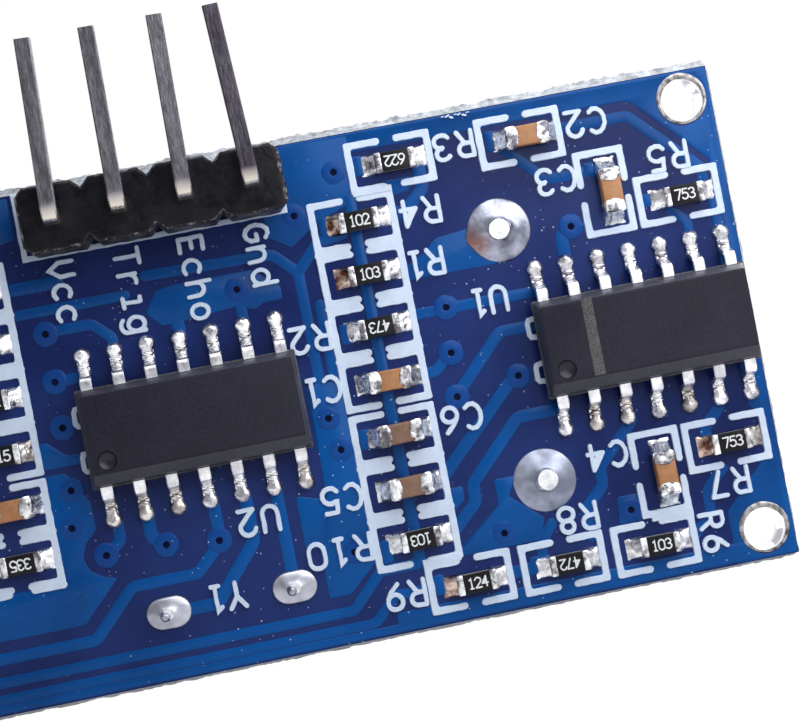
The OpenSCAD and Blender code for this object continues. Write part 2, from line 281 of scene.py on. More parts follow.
def line(shape, points, width, w0, w1, edge=0.02, slot=0, bend=0.0):
    """A line with round ends, its corners softened by bend."""
    if bend:
        turns = zip(points, points[1:], points[2:])
        points = [points[0], *(q for a, p, b in turns for q in curve(a, p, b, bend, 0.4, 4)), points[-1]]
    plate(shape, stroke(points, width), w0, w1, edge, slot)


def revolve(shape, cx, cy, profile, n, slot=0, slots=None, squash=1.0, wobble=0.0, seed=0.0):
    """A closed surface turned about (cx, cy), squashed along v, from a profile of (radius, w)."""
    rings = []
    for r, w in profile:
        ring = []
        for i in range(n):
            x, y = math.cos(math.tau * i / n), math.sin(math.tau * i / n)
            k = 1 + wobble * uneven(x * 2, y * 2, seed + w)
            ring.append((cx + x * r * k, cy + y * r * k * squash, w))
        rings.append(ring)
    shape.rings(rings, slot, slots=slots)


def hoop(shape, cx, cy, profile, n=96):
    """A ring round (cx, cy) whose section is the closed profile of (radius, w)."""
    shape.rings([[(*p, w) for p in circle(cx, cy, r, n)] for r, w in profile + profile[:1]], caps=False)


def block(shape, at, angle, cx, du, dv, w, dw, r, slot=0, bow=0.0, taper=0.0):
    """A block with rounded edges, from w up to w + dw, with one side bowed out.

    It is drawn round (cx, 0), then turned by angle and moved to at.
    """
    levels = [(w + r - r * math.cos(a), -r + r * math.sin(a)) for a in (0.0, 0.6, 1.1, 1.57)]
    levels += [(w + dw - r + r * math.sin(a), -r + r * math.cos(a)) for a in (0.0, 0.5, 1.0, 1.57)]
    rings = []
    for level, grow in levels:
        k = 1 - taper * (level - w) / dw
        half = dv / 2 + grow
        ring = [(cx + x, y) for x, y in rounded(rectangle((du + 2 * grow) * k, 2 * half * k), r, 3)]
        if bow:
            ring = ragged(ring, 0.0, 0.08)
            ring = [(x + bow * (1 - (y / half) ** 2) if (x - cx) * bow > 0 else x, y) for x, y in ring]
        rings.append([(*p, level) for p in turned(ring, angle, at)])
    shape.rings(rings, slot)


def sweep(shape, path, section, across):
    """Carries a section along a path. across is the fixed direction of the section's first axis."""
    across = Vector(across).normalized()
    rings = []
    for i, p in enumerate(path):
        way = Vector(path[min(i + 1, len(path) - 1)]) - Vector(path[max(i - 1, 0)])
        up = way.normalized().cross(across).normalized()
        rings.append([tuple(Vector(p) + across * x + up * y) for x, y in section])
    shape.rings(rings)


def soft_path(points, r, n=5):
    """A path in space with its corners rounded to about r."""
    turns = zip(points, points[1:], points[2:])
    soft = [q for a, p, b in turns for q in curve(a, p, b, r, 0.48, n)]
    return [Vector(points[0]), *soft, Vector(points[-1])]


def bar_section(width, thick, cut):
    """A rectangle with cut corners."""
    a, b = width / 2, thick / 2
    return [(-a + cut, -b), (a - cut, -b), (a, -b + cut), (a, b - cut),
            (a - cut, b), (-a + cut, b), (-a, b - cut), (-a, -b + cut)]


# ---------------------------------------------------------------- materials

def linear(rgb):
    """sRGB from 0 to 255 to linear colour."""
    shares = [c / 255 for c in rgb]
    return tuple(c / 12.92 if c <= 0.0405 else ((c + 0.055) / 1.055) ** 2.4 for c in shares) + (1.0,)


class Nodes:
    """Short calls for building a node tree. A value may be a number, a colour or another output."""

    def __init__(self, tree):
        self.tree = tree

    def feed(self, socket, value):
        """Links an output to a socket, or sets its value."""
        if isinstance(value, bpy.types.NodeSocket):
            self.tree.links.new(value, socket)
        else:
            socket.default_value = value

    def node(self, kind, inputs=None, **settings):
        """A new node with its inputs, by name or number, and its settings."""
        n = self.tree.nodes.new(kind)
        for key, value in settings.items():
            setattr(n, key, value)
        for key, value in (inputs or {}).items():
            self.feed(n.inputs[key], value)
        return n

    def span(self, value, low, high, to_low=0.0, to_high=1.0):
        """Carries low..high over to to_low..to_high, and stops at both ends."""
        limits = {"From Min": low, "From Max": high, "To Min": to_low, "To Max": to_high}
        return self.node("ShaderNodeMapRange", {"Value": value, **limits}).outputs[0]

    def mix(self, fac, a, b):
        """Colour a where fac is 0 and b where it is 1."""
        return self.node("ShaderNodeMix", {0: fac, 6: a, 7: b}, data_type="RGBA").outputs[2]

    def math(self, operation, *values):
        """One step of arithmetic."""
        return self.node("ShaderNodeMath", dict(enumerate(values)), operation=operation).outputs[0]


class Finish(Nodes):
    """A material on the Principled shader."""

    def __init__(self, name):
        self.material = bpy.data.materials.new(name)
        self.material.use_nodes = True
        super().__init__(self.material.node_tree)
        self.shader = self.tree.nodes["Principled BSDF"]
        self.place = self.node("ShaderNodeTexCoord").outputs["Object"]

    def noise(self, per_mm, detail=3.0, rough=0.55, stretch=(1, 1, 1)):
        """Noise with about that many cells to a millimetre."""
        scale = tuple(1000 * per_mm * s for s in stretch)
        spot = self.node("ShaderNodeMapping", {"Vector": self.place, "Scale": scale}).outputs[0]
        settings = {"Vector": spot, "Scale": 1.0, "Detail": detail, "Roughness": rough}
        return self.node("ShaderNodeTexNoise", settings).outputs["Fac"]

    def set(self, shine=None, **sockets):
        """Sets the shader's sockets. shine is its specular level."""
        for key, value in sockets.items():
            self.feed(self.shader.inputs[key.replace("_", " ")], value)
        if shine is not None:
            self.shader.inputs["Specular IOR Level"].default_value = shine

    def bump(self, height, strength, depth):
        """Relief of that depth in millimetres. Returns the finished material."""
        n = self.node("ShaderNodeBump", {"Height": height, "Strength": strength, "Distance": depth * MM})
        self.feed(self.shader.inputs["Normal"], n.outputs[0])
        return self.material


def solder_mask(name, dark, light):
    """Glossy lacquer, a little mottled, with dust and short scratches on it."""
    m = Finish(name)
    colour = m.mix(m.span(m.noise(0.22, 4.0), 0.38, 0.62), linear(dark), linear(light))
    dusty = m.math("MULTIPLY", m.span(m.noise(0.16, 2.0), 0.4, 0.62), 0.75)
    for per_mm, reach, share, turn, squash in ((2.1, 0.062, 0.93, 0.0, 1.0), (4.0, 0.08, 0.94, 0.3, 1.0),
                                               (1.0, 0.02, 0.93, -0.5, 0.08)):
        scale = (1000 * per_mm * squash, 1000 * per_mm, 1000 * per_mm)
        spin = (math.pi / 2, turn, 0.0)
        flat = m.node("ShaderNodeMapping", {"Vector": m.place, "Rotation": spin, "Scale": scale}).outputs[0]
        sockets = {"Vector": flat, "Scale": 1.0}
        cells = m.node("ShaderNodeTexVoronoi", sockets, voronoi_dimensions="2D").outputs
        chance = m.node("ShaderNodeSeparateColor", {"Color": cells["Color"]}).outputs[0]
        speck = m.math("MULTIPLY", m.math("LESS_THAN", cells["Distance"], reach),
                       m.math("GREATER_THAN", chance, share))
        colour = m.mix(m.math("MULTIPLY", speck, dusty), colour, linear((190, 204, 228)))
    m.set(Base_Color=colour, Roughness=0.3, Coat_Weight=0.05, Coat_Roughness=0.12, shine=0.12)
    return m.bump(m.noise(0.9, 2.0), 0.2, 0.02)


def metal(name, colour, dark, rough, per_mm, bump, depth, share=(0.35, 0.62), stain=None):
    """Metal whose colour and gloss vary, with fine relief, and a brown stain round a place."""
    m = Finish(name)
    broad = m.noise(per_mm * 0.5)
    fine = m.noise(per_mm * 2.5, 2.0, 0.5)
    tone = m.mix(m.span(broad, *share), linear(dark), linear(colour))
    if stain:
        apart = m.node("ShaderNodeVectorMath", {0: m.place, 1: place(BACK, *stain)}, operation="DISTANCE")
        near = m.span(apart.outputs["Value"], 0.00035, 0.0009, 0.75, 0.0)
        patchy = m.math("MULTIPLY", near, m.span(fine, 0.35, 0.6, 0.5, 1.0))
        tone = m.mix(patchy, tone, linear((150, 96, 76)))
    m.set(Base_Color=tone, Metallic=1.0, Roughness=m.span(fine, 0.3, 0.7, *rough))
    return m.bump(m.math("ADD", broad, m.math("MULTIPLY", fine, 0.15)), bump, depth)


def plastic(name, colour, light, rough, per_mm, bump, depth, coarse=0.4, shine=0.5, share=(0.38, 0.62)):
    """Moulded plastic, ink or fired ceramic with a fine grain."""
    m = Finish(name)
    grain = m.noise(per_mm, 3.0, 0.6)
    broad = m.noise(coarse, 3.0, 0.6)
    both = m.math("ADD", m.math("MULTIPLY", grain, 0.6), m.math("MULTIPLY", broad, 0.4))
    m.set(Base_Color=m.mix(m.span(both, *share), linear(colour), linear(light)),
          Roughness=m.span(grain, 0.3, 0.7, *rough), shine=shine)
    return m.bump(grain, bump, depth)


def pin_metal(name, colour, dark):
    """Drawn tinned brass with streaks along it, with a painted highlight near the bend."""
    m = Finish(name)
    streaks = m.noise(0.9, stretch=(3, 3, 0.5))
    fine = m.noise(5.0, 2.0, 0.5, (3, 3, 0.6))
    height = m.node("ShaderNodeSeparateXYZ", {"Vector": m.place}).outputs[2]
    both = m.math("ADD", m.math("MULTIPLY", streaks, 0.8), m.math("MULTIPLY", fine, 0.2))
    tone = m.mix(m.span(both, 0.4, 0.6), linear(dark), linear(colour))
    # painted highlight: the colour turns pale and warm near the bend, where light is caught
    bend = m.span(height, (HEADER_V + 0.4) * MM, (HEADER_V - 0.2) * MM)
    m.set(Base_Color=m.mix(bend, tone, linear((238, 228, 216))), Metallic=1.0,
          Roughness=m.span(fine, 0.3, 0.7, 0.22, 0.34))
    return m.bump(fine, 0.3, 0.02)


MASK = solder_mask("mask_over_laminate", (15, 32, 86), (27, 46, 105))
COPPER = solder_mask("mask_over_copper", (2, 64, 128), (4, 79, 152))
VIA_RING = solder_mask("mask_over_via", (10, 58, 126), (14, 70, 144))

SOLDER = metal("bright_solder", (250, 250, 253), (158, 156, 164), (0.2, 0.36), 3.6, 0.8, 0.07)
SMOOTH_SOLDER = metal("smooth_solder", (206, 207, 218), (138, 138, 152), (0.26, 0.4), 1.1, 0.3, 0.04)
STAINED_SOLDER = metal("stained_solder", (178, 181, 198), (108, 110, 126), (0.28, 0.42), 2.6, 0.5, 0.05,
                       stain=(11.85, 4.6, 0.2))
DULL_SOLDER = metal("dull_solder", (160, 165, 184), (116, 120, 138), (0.38, 0.5), 1.8, 0.5, 0.05)
FLUXED = metal("fluxed_solder", (222, 217, 214), (104, 96, 95), (0.25, 0.42), 3.6, 0.9, 0.07)
COPPERY = metal("bare_copper_solder", (214, 190, 178), (92, 58, 46), (0.22, 0.4), 3.4, 0.9, 0.07, (0.4, 0.58))
LEAD = metal("tinned_lead", (252, 252, 254), (200, 200, 208), (0.22, 0.38), 3.0, 0.7, 0.03)
TERMINAL = metal("part_terminal", (242, 243, 246), (104, 101, 108), (0.24, 0.4), 4.4, 1.0, 0.08, (0.42, 0.6))
TIP = metal("terminal_tip", (178, 180, 194), (96, 96, 110), (0.34, 0.46), 4.5, 1.0, 0.09)
LAND = metal("tinned_land", (172, 169, 170), (80, 76, 78), (0.3, 0.5), 7.0, 0.9, 0.05)
PLATING = metal("hole_plating", (255, 255, 255), (236, 236, 240), (0.12, 0.2), 2.0, 0.15, 0.01)
PIN = pin_metal("header_pin_tin", (136, 132, 141), (109, 105, 114))
# the ground pin's darker copy of the pin metal is painted shade
SHADED_PIN = pin_metal("header_pin_painted_shade", (96, 91, 102), (74, 70, 80))
CAN = metal("can_aluminium", (190, 191, 196), (180, 181, 187), (0.24, 0.3), 0.5, 0.04, 0.01)
SCREEN = metal("screen_wire", (120, 120, 124), (84, 84, 90), (0.3, 0.5), 4.0, 0.3, 0.01)
CONE = metal("cone_aluminium", (200, 201, 204), (160, 161, 166), (0.25, 0.4), 2.0, 0.2, 0.01)
CRYSTAL = metal("crystal_nickel", (190, 190, 194), (176, 176, 181), (0.2, 0.28), 0.7, 0.08, 0.01)
WIRE = metal("lead_wire", (206, 150, 96), (170, 110, 66), (0.2, 0.35), 6.0, 0.4, 0.02)

LAMINATE = plastic("glass_fibre_edge", (104, 106, 114), (180, 187, 196), (0.5, 0.75), 3.6, 0.9, 0.05, 1.2)
LEGEND = plastic("legend_ink", (196, 211, 234), (208, 222, 242), (0.5, 0.65), 3.0, 0.2, 0.01, shine=0.3)
CHIP = plastic("chip_epoxy", (22, 21, 34), (34, 33, 47), (0.4, 0.55), 7.0, 0.4, 0.016, shine=0.2)
# a lighter copy of the chip epoxy for the sloped sides: painted light
LIT_BEVEL = plastic("chip_bevel", (40, 40, 52), (60, 60, 72), (0.4, 0.55), 7.0, 0.4, 0.016, shine=0.4)
DIMPLE = plastic("chip_dimple", (20, 19, 31), (28, 27, 40), (0.3, 0.36), 4.0, 0.1, 0.01, shine=0.35)
MARK = plastic("laser_mark", (28, 28, 33), (98, 98, 100), (0.6, 0.8), 14.0, 0.5, 0.01, shine=0.3)
BLOCK = plastic("header_nylon", (8, 7, 13), (20, 19, 28), (0.2, 0.46), 1.6, 0.7, 0.06, shine=0.16)
SCUFFED = plastic("scuffed_nylon", (5, 5, 9), (140, 140, 148), (0.3, 0.6), 6.0, 1.0, 0.08, 2.0, 0.3,
                  (0.5, 0.68))
GLAZE = plastic("resistor_glaze", (8, 8, 11), (16, 15, 19), (0.3, 0.45), 5.0, 0.2, 0.01, shine=0.2)
ALUMINA = plastic("alumina", (120, 116, 112), (160, 156, 150), (0.5, 0.7), 5.0, 0.3, 0.01)
TAN = plastic("capacitor_ceramic", (152, 104, 64), (174, 122, 82), (0.35, 0.5), 4.0, 0.2, 0.01)
BROWN = plastic("capacitor_ceramic_dark", (108, 80, 62), (128, 98, 80), (0.35, 0.5), 4.0, 0.2, 0.01)
DIGITS = plastic("value_print", (214, 218, 222), (236, 238, 240), (0.5, 0.7), 7.0, 0.2, 0.005, shine=0.3)
HOLE_DARK = plastic("hole_shadow", (8, 12, 32), (14, 20, 48), (0.8, 0.95), 8.0, 0.1, 0.01, shine=0.05)
PIEZO = plastic("piezo_ceramic", (150, 142, 112), (176, 168, 138), (0.5, 0.7), 5.0, 0.3, 0.01)
SILICONE = plastic("damping_silicone", (200, 200, 194), (216, 216, 210), (0.45, 0.6), 3.0, 0.2, 0.01)
BASE = plastic("base_plastic", (24, 24, 28), (34, 34, 38), (0.4, 0.6), 5.0, 0.3, 0.02)
QUARTZ = plastic("quartz_face", (196, 204, 212), (220, 226, 232), (0.1, 0.25), 2.0, 0.1, 0.005)

# the CAD pieces that keep their own shape
finishes = {"quartz_blank": QUARTZ, "crystal_leads": LEAD}
for part, finish in {"plate": CONE, "cone": CONE, "piezo": PIEZO, "damper": SILICONE,
                     "base": BASE, "wires": WIRE, "terminals": LEAD}.items():
    finishes["transmitter_" + part] = finish
    finishes["receiver_" + part] = finish
for node, finish in finishes.items():
    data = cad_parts[node].data
    data.materials.clear()
    data.materials.append(finish)


# ---------------------------------------------------------------- board

HOLES = [(21.3 * a, 8.7 * b) for a in (-1, 1) for b in (-1, 1)]
HOLE_R = 0.85
# the laminate's own hole, which the plating lines
PLATED_R = HOLE_R + 0.03
# half the width and height of each face
FACE_U, FACE_V = 22.5, 9.9
# how high the lacquered copper and the printed ink stand
COPPER_TOP = 0.015
INK_TOP = 0.055


def board():
    """Laminate with scored, broken edges, and its four holes."""
    rim = []
    for (a, b), proud in zip(edges(rectangle(2 * FACE_U, 2 * FACE_V)), (0.18, 0.19, 0.3, 0.17)):
        a, b = Vector(a), Vector(b)
        n = int((b - a).length / 0.12)
        out = Vector(((b - a).y, -(b - a).x)).normalized()
        rim += [(a + (b - a) * i / n, out, proud) for i in range(n)]
    rings = []
    for w, share, rough in [(0, -0.02, 0.012), (-0.03, 0.0, 0.02), (-0.45, 0.75, 0.35), (-0.62, 0.95, 0.5),
                            (-0.8, 0.85, 0.6), (-0.98, 0.95, 0.5), (-1.15, 0.75, 0.35),
                            (-THICK + 0.03, 0.0, 0.02), (-THICK, -0.02, 0.012)]:
        ring = []
        for p, out, reach in rim:
            jag = 0.8 * uneven(p.x * 1.1, p.y * 1.1, w * 4) + 0.7 * uneven(p.x * 5, p.y * 5, w * 7 + 9)
            q = p + out * min(reach * share + reach * rough * jag, 0.2 if reach < 0.25 else 0.42)
            ring.append((q.x, q.y, w))
        rings.append(ring)
    shape = Shape(weld=True)
    shape.rings(rings, 1, caps=False)
    for w, ring in ((0, rings[0]), (-THICK, rings[-1])):
        shape.pierced([ring] + [[(*q, w) for q in circle(*h, PLATED_R, 40)] for h in HOLES])
    for h in HOLES:
        shape.rings([[(*q, w) for q in circle(*h, PLATED_R, 40)] for w in (0, -THICK)], 1, caps=False)
    shape.make("board_laminate", [MASK, LAMINATE], "board", ["circuit_board"], 30)


def hole_land(shape, u, v):
    """Plating through a hole, with a tinned land that sits a little high on each face."""
    profile = [(HOLE_R, -THICK - 0.04), (1.0, -THICK - 0.04), (1.02, -THICK), (PLATED_R, -THICK),
               (PLATED_R, 0.0), (1.02, 0.0), (1.02, 0.035), (0.99, 0.055), (0.93, 0.06), (PLATED_R, 0.05),
               (HOLE_R, 0.02)]
    loops = []
    for r, w in profile + profile[:1]:
        loop = []
        for i in range(48):
            x, y = math.cos(math.tau * i / 48), math.sin(math.tau * i / 48)
            rough = 0.012 * uneven(u + x * 4, v + y * 4, r * 9)
            reach = r + rough * 0.6 * (r > 0.9)
            rise = rough if r > 0.86 and w > 0 else 0.0
            loop.append((u + x * reach, v + y * reach + 0.07 * (r > 0.9), w + rise))
        loops.append(loop)
    shape.rings(loops, caps=False, slots=[0] * (len(profile) - 1) + [1])


board()
lands = Shape()
for u, v in HOLES:
    hole_land(lands, u, v)
lands.make("hole_lands", [LAND, PLATING], "plating", ["hole_platings"], 50)


# ---------------------------------------------------------------- copper

def pour(shape, outline, r=0.12, holes=()):
    """A lacquered area of copper."""
    plate(shape, rounded(outline, r, 3), 0, COPPER_TOP, 0.04, 0, holes)


def via(shape, u, v, seed):
    """A lacquered copper ring round a small dark hole."""
    top = COPPER_TOP + 0.04
    profile = [(0.5, 0), (0.49, top - 0.03), (0.42, top - 0.01), (0.25, top), (0.18, top + 0.004),
               (0.14, top - 0.004), (0.12, top - 0.012), (0.08, top - 0.02), (0.02, top - 0.022)]
    revolve(shape, u, v, profile, 28, slots=[0, 0, 0, 0, 0, 1, 1, 1], wobble=0.08, seed=seed)


# each track is a route and a width
TRACKS = [
    ([(5.0, -0.6), (5.0, 4.85), (4.1, 5.75), (-0.9, 5.85)], 0.42),
    ([(5.0, 4.85), (5.95, 5.85), (7.0, 6.0)], 0.42),
    ([(5.6, 3.45), (5.6, -0.4)], 0.42),
    ([(10.45, 8.4), (10.45, 7.2), (9.65, 6.45), (8.8, 6.4)], 0.5),
    ([(13.7, 8.4), (13.95, 8.05), (15.35, 6.62), (17.5, 6.62)], 0.42),
    ([(16.1, 8.5), (19.0, 8.5), (21.55, 5.95), (21.55, 5.2)], 0.42),
    ([(9.2, 2.35), (14.2, 2.35)], 0.42),
    ([(10.2, 0.6), (9.6, 0.0), (8.9, 0.0)], 0.42),
    ([(14.0, 1.05), (12.35, 1.05), (10.2, -1.1)], 0.45),
    ([(12.75, -0.8), (12.4, -0.95), (9.0, -4.2)], 0.48),
    ([(14.2, -2.4), (12.4, -2.4), (10.15, -4.65), (10.15, -5.35), (8.9, -6.5)], 0.48),
    ([(16.85, -3.2), (16.85, -3.45), (15.25, -5.0), (15.25, -5.7), (14.4, -6.5), (14.4, -7.6)], 0.45),
    ([(20.55, -3.3), (20.4, -3.6), (19.7, -4.3), (19.7, -4.8)], 0.45),
    ([(20.1, -6.0), (19.3, -6.75), (19.3, -7.65), (18.5, -8.4)], 0.42),
    ([(20.0, 4.7), (20.0, 4.5), (20.6, 3.95), (20.6, 3.3)], 0.38),
    ([(15.95, 4.6), (15.5, 4.3), (15.5, 3.4)], 0.5),
    ([(12.95, -6.8), (12.35, -7.5), (12.35, -8.3)], 0.42),
    ([(10.7, -8.4), (12.4, -8.4)], 0.5),
    ([(0.0, -3.2), (0.0, -4.8)], 0.48),
    ([(1.27, -3.2), (1.27, -5.15), (-0.55, -7.25), (-2.4, -7.25)], 0.5),
    ([(2.5, -3.2), (2.5, -7.2)], 0.48),
    ([(-3.8, -3.2), (-3.8, -4.1), (-4.4, -4.55)], 0.45),
    ([(-2.6, -3.2), (-2.6, -4.2), (-2.1, -4.6)], 0.5),
    ([(0.0, -4.9), (-1.1, -5.95), (-3.7, -5.95), (-5.45, -7.72), (-19.8, -7.72)], 0.45),
    ([(-19.4, -8.62), (4.6, -8.62), (5.9, -7.3), (7.4, -7.3)], 0.42),
    ([(-19.4, -9.28), (5.35, -9.28), (6.3, -8.35), (8.6, -8.35)], 0.4),
    ([(-6.3, 5.25), (-1.8, 5.25)], 0.4),
    ([(-5.1, 4.4), (-3.3, 4.4), (-2.6, 3.75), (-2.6, 3.3)], 0.42),
    ([(-5.1, 2.45), (-3.9, 2.45)], 0.42),
    ([(2.54, 3.3), (2.54, 4.6)], 0.42),
    ([(0.0, 3.3), (0.0, 4.6)], 0.5),
    ([(-6.0, 6.25), (-4.3, 6.25)], 0.5),
]
RECEIVER_POUR = [(5.15, 9.86), (22.46, 9.86), (22.46, -9.86), (19.95, -9.86), (19.95, -7.75), (21.95, -5.8),
                 (21.95, -4.1), (21.6, -3.7), (21.6, -2.0), (21.6, 4.8), (21.95, 5.2), (21.95, 6.2),
                 (19.3, 8.95), (18.9, 9.1), (5.15, 9.1)]
POURS = [
    [(4.05, 9.8), (7.9, 9.8), (7.9, 7.3), (5.95, 6.55), (4.95, 5.85), (4.05, 6.45)],
    [(-1.15, 4.4), (-0.6, 5.2), (0.2, 5.3), (3.2, 5.3), (4.2, 4.5), (4.2, 3.95), (3.4, 3.95), (3.1, 3.75),
     (2.4, 4.0), (-0.6, 3.8)],
    [(9.0, 3.72), (9.0, 4.15), (10.1, 4.75), (10.55, 5.15), (12.0, 5.3), (13.0, 5.0), (12.8, 3.72)],
    [(4.45, 0.4), (5.8, 0.4), (5.8, -6.9), (4.6, -7.95), (3.75, -7.95), (3.75, -5.9), (3.2, -5.9),
     (3.2, -3.75), (4.4, -4.1)],
    [(11.0, -4.65), (11.9, -4.65), (11.45, -5.4), (12.7, -6.5), (12.4, -7.35), (8.8, -7.35), (11.0, -5.65)],
    [(8.9, -4.65), (9.75, -4.65), (9.7, -5.2), (8.9, -5.8)],
    [(15.7, -6.3), (16.5, -6.3), (16.55, -7.4), (15.6, -7.4)],
    [(-19.8, -9.5), (20.5, -9.5), (20.5, -9.82), (-19.8, -9.82)],
    [(6.2, -9.05), (20.5, -9.05), (20.5, -9.6), (6.2, -9.6)],
    [(-6.3, -1.1), (-5.4, -1.1), (-4.65, -2.4), (-4.65, -3.5), (-5.15, -3.95), (-5.35, -4.5), (-5.2, -5.0),
     (-4.8, -5.3), (-4.2, -5.5), (-5.75, -7.05), (-22.4, -7.05), (-22.4, -5.3), (-6.3, -5.3)],
    [(-6.4, 0.2), (-5.9, 0.2), (-5.2, -0.45), (-4.6, -0.45), (-4.6, -0.85), (-6.4, -0.85)],
    [(-19.9, 9.8), (-5.55, 9.8), (-5.55, 8.2), (-8.0, 7.6), (-12.0, 9.1), (-19.9, 9.1)],
    [(7.3, 7.5), (7.75, 7.5), (7.75, -7.4), (7.3, -7.4)],
    [(9.0, 7.75), (10.1, 7.75), (9.9, 7.2), (9.2, 7.1)],
]
# each pad is its middle and its size
PADS = [(6.35, 6.4, 0.4, 0.8), (6.35, 2.1, 0.4, 0.8), (19.15, 5.05, 0.4, 0.5), (8.1, 8.5, 0.4, 0.8),
        (13.45, 8.5, 0.4, 0.8), (6.35, -2.1, 0.5, 0.8), (6.3, -6.6, 0.4, 0.9), (17.1, 6.7, 0.4, 0.5),
        (12.0, -8.3, 0.4, 0.7), (8.1, -8.3, 0.4, 0.8)]
VIAS = [(-5.1, 4.35), (-5.1, 2.45), (-5.15, 0.65), (-5.3, -1.8), (-5.55, -3.25), (-4.45, -4.55), (-2.1, -4.6),
        (-0.05, -4.85), (2.5, 4.65), (5.25, 7.05), (7.1, 8.45), (10.45, 2.4), (10.3, 0.6), (10.2, -1.15),
        (12.75, -0.8), (15.95, 4.6), (5.05, -1.0), (5.3, -2.3), (5.05, -6.35), (11.0, -6.8), (16.15, -6.9),
        (-10.4, 2.4), (-10.3, -0.6), (-12.6, 0.9), (-16.1, -7.0), (-11.1, 6.6), (-20.4, 0.5)]

tracks = Shape()
for points, width in TRACKS:
    line(tracks, points, width, 0, COPPER_TOP, 0.04, bend=0.18)
pour(tracks, RECEIVER_POUR, holes=[(*HOLES[3], 1.0), (*HOLES[2], 1.0)])
for outline in POURS:
    pour(tracks, outline)
for u, v, du, dv in PADS:
    pour(tracks, turned(rectangle(du, dv), 0, (u, v)), 0.08)
tracks.make("copper_tracks", [COPPER], "board", (), 30)

vias = Shape()
for k, (u, v) in enumerate(VIAS):
    via(vias, u, v, k)
vias.make("vias", [VIA_RING, HOLE_DARK], "board", (), 50)


# ---------------------------------------------------------------- legend

def bowl(x, y, rx, ry, a0, a1):
    """A bent stroke of a letter."""
    return arc(x, y, rx, ry, a0, a1, 9)


def loop(x, y, rx, ry):
    """A closed round stroke, drawn as two bowls that overlap."""
    return [bowl(x, y, rx, ry, -30, 155), bowl(x, y, rx, ry, 150, 335)]


# plain strokes for each letter, on a body one unit high
GLYPHS = {
    "0": [bowl(.31, .68, .31, .32, 0, 180) + [(0, .32)], bowl(.31, .32, .31, .32, 180, 360) + [(.62, .68)]],
    "1": [[(.17, .86), (.34, 1), (.34, 0)], [(.18, 0), (.49, 0)]],
    "2": [bowl(.31, .7, .31, .3, 165, -25) + [(.02, 0)], [(.02, 0), (.62, 0)]],
    "3": [bowl(.3, .75, .28, .25, 150, -90), bowl(.3, .27, .32, .27, 85, -150)],
    "4": [[(.46, 0), (.46, 1)], [(.46, 1), (0, .34)], [(0, .34), (.62, .34)], [(.38, .72), (.24, .44)]],
    "5": [[(.56, 1), (.1, 1)], [(.1, 1), (.06, .58)] + bowl(.29, .32, .33, .32, 125, -150)],
    "6": [[(.5, 1), (.2, .72), (.04, .45)]] + loop(.31, .3, .3, .3),
    "7": [[(.02, 1), (.62, 1)], [(.62, 1), (.24, 0)]],
    "8": loop(.31, .76, .26, .24) + loop(.31, .27, .31, .27),
    "9": [[(.12, 0), (.42, .28), (.58, .55)]] + loop(.31, .7, .3, .3),
    "C": [bowl(.36, .5, .35, .5, 48, 312)],
    "E": [[(.58, 1), (.02, 1)], [(.02, 1), (.02, 0)], [(.02, 0), (.58, 0)], [(.02, .52), (.46, .52)]],
    "G": [bowl(.36, .5, .35, .5, 48, 330) + [(.66, .5)], [(.66, .5), (.4, .5)]],
    "R": [[(.02, 0), (.02, 1)], [(.02, 1), (.34, 1)] + bowl(.34, .74, .26, .26, 75, -90) + [(.02, .48)],
          [(.32, .48), (.6, 0)]],
    "T": [[(0, 1), (.64, 1)], [(.32, 1), (.32, 0)]],
    "U": [[(.02, 1), (.02, .32)] + bowl(.32, .3, .3, .3, 180, 360) + [(.62, .32), (.62, 1)]],
    "V": [[(.02, 1), (.02, .4), (.32, 0), (.62, .4), (.62, 1)]],
    "Y": [[(.0, 1), (.31, .56), (.62, 1)], [(.31, .56), (.31, 0)]],
    "c": [bowl(.34, .36, .33, .36, 50, 310)],
    "d": loop(.31, .34, .3, .34) + [[(.62, 1), (.62, 0)]],
    "g": loop(.31, .38, .3, .34) + [[(.62, .72), (.62, -.08)], bowl(.33, -.06, .29, .22, 0, -150)],
    "h": [[(.02, 1), (.02, 0)], bowl(.31, .4, .28, .3, 180, 0) + [(.59, 0)]],
    "i": [[(.16, .72), (.34, .72)], [(.34, .72), (.34, 0)], [(.12, 0), (.54, 0)]],
    "n": [[(.02, .72), (.02, 0)], bowl(.31, .4, .28, .3, 180, 0) + [(.59, 0)]],
    "o": loop(.31, .36, .3, .36),
    "r": [[(.1, .72), (.1, 0)], bowl(.4, .38, .3, .34, 180, 70)],
}


def write(shape, text, at, angle, height, width, advance):
    """Plain stroke lettering: at is the start of the base line. A last 1 stands closer."""
    for k, letter in enumerate(text):
        shift = k * advance - (0.15 if k and text[k:] == "1" else 0.0)
        for points in GLYPHS[letter]:
            path = turned([(x * height + shift, y * height) for x, y in points], angle, at)
            line(shape, path, width, 0, INK_TOP)


def bracket_box(shape, u, v, angle=0):
    """The two facing brackets printed round a small part."""
    half, du, dv, end = 0.145, 1.59, 0.895, 0.4
    outline = [(du + half, -dv - half), (du + half, dv + half)] + arc(end, dv, half, half, 90, 270, 6)
    outline += [(du - half, dv - half), (du - half, half - dv)] + arc(end, -dv, half, half, 90, 270, 6)
    outline = rounded(outline, 0.1, 3)
    for side in (-1, 1):
        plate(shape, turned([(x * side, y) for x, y in outline], angle, (u, v)), 0, INK_TOP, 0.025)


COLUMN_V = [6.37, 4.26, 2.13, 0.03, -2.15, -4.27, -6.38]
COLUMNS = [(7.51, v, 0) for v in COLUMN_V] + [(-7.9, v, 0) for v in COLUMN_V[:6]]
# the other brackets: middle and angle
SINGLES = [(9.37, 8.43, 0), (14.6, 8.41, 0), (17.54, 5.7, 90), (20.44, 5.0, 0), (20.45, -4.98, 0),
           (17.56, -5.65, 90), (16.86, -8.47, 0), (13.1, -8.44, 0), (9.33, -8.41, 0), (-9.75, 8.45, 0),
           (-15.0, 8.45, 0), (-13.5, -8.5, 0), (-20.75, 5.0, 0), (-20.75, -5.0, 0), (-17.9, 5.7, 90),
           (-17.9, -5.7, 90)]
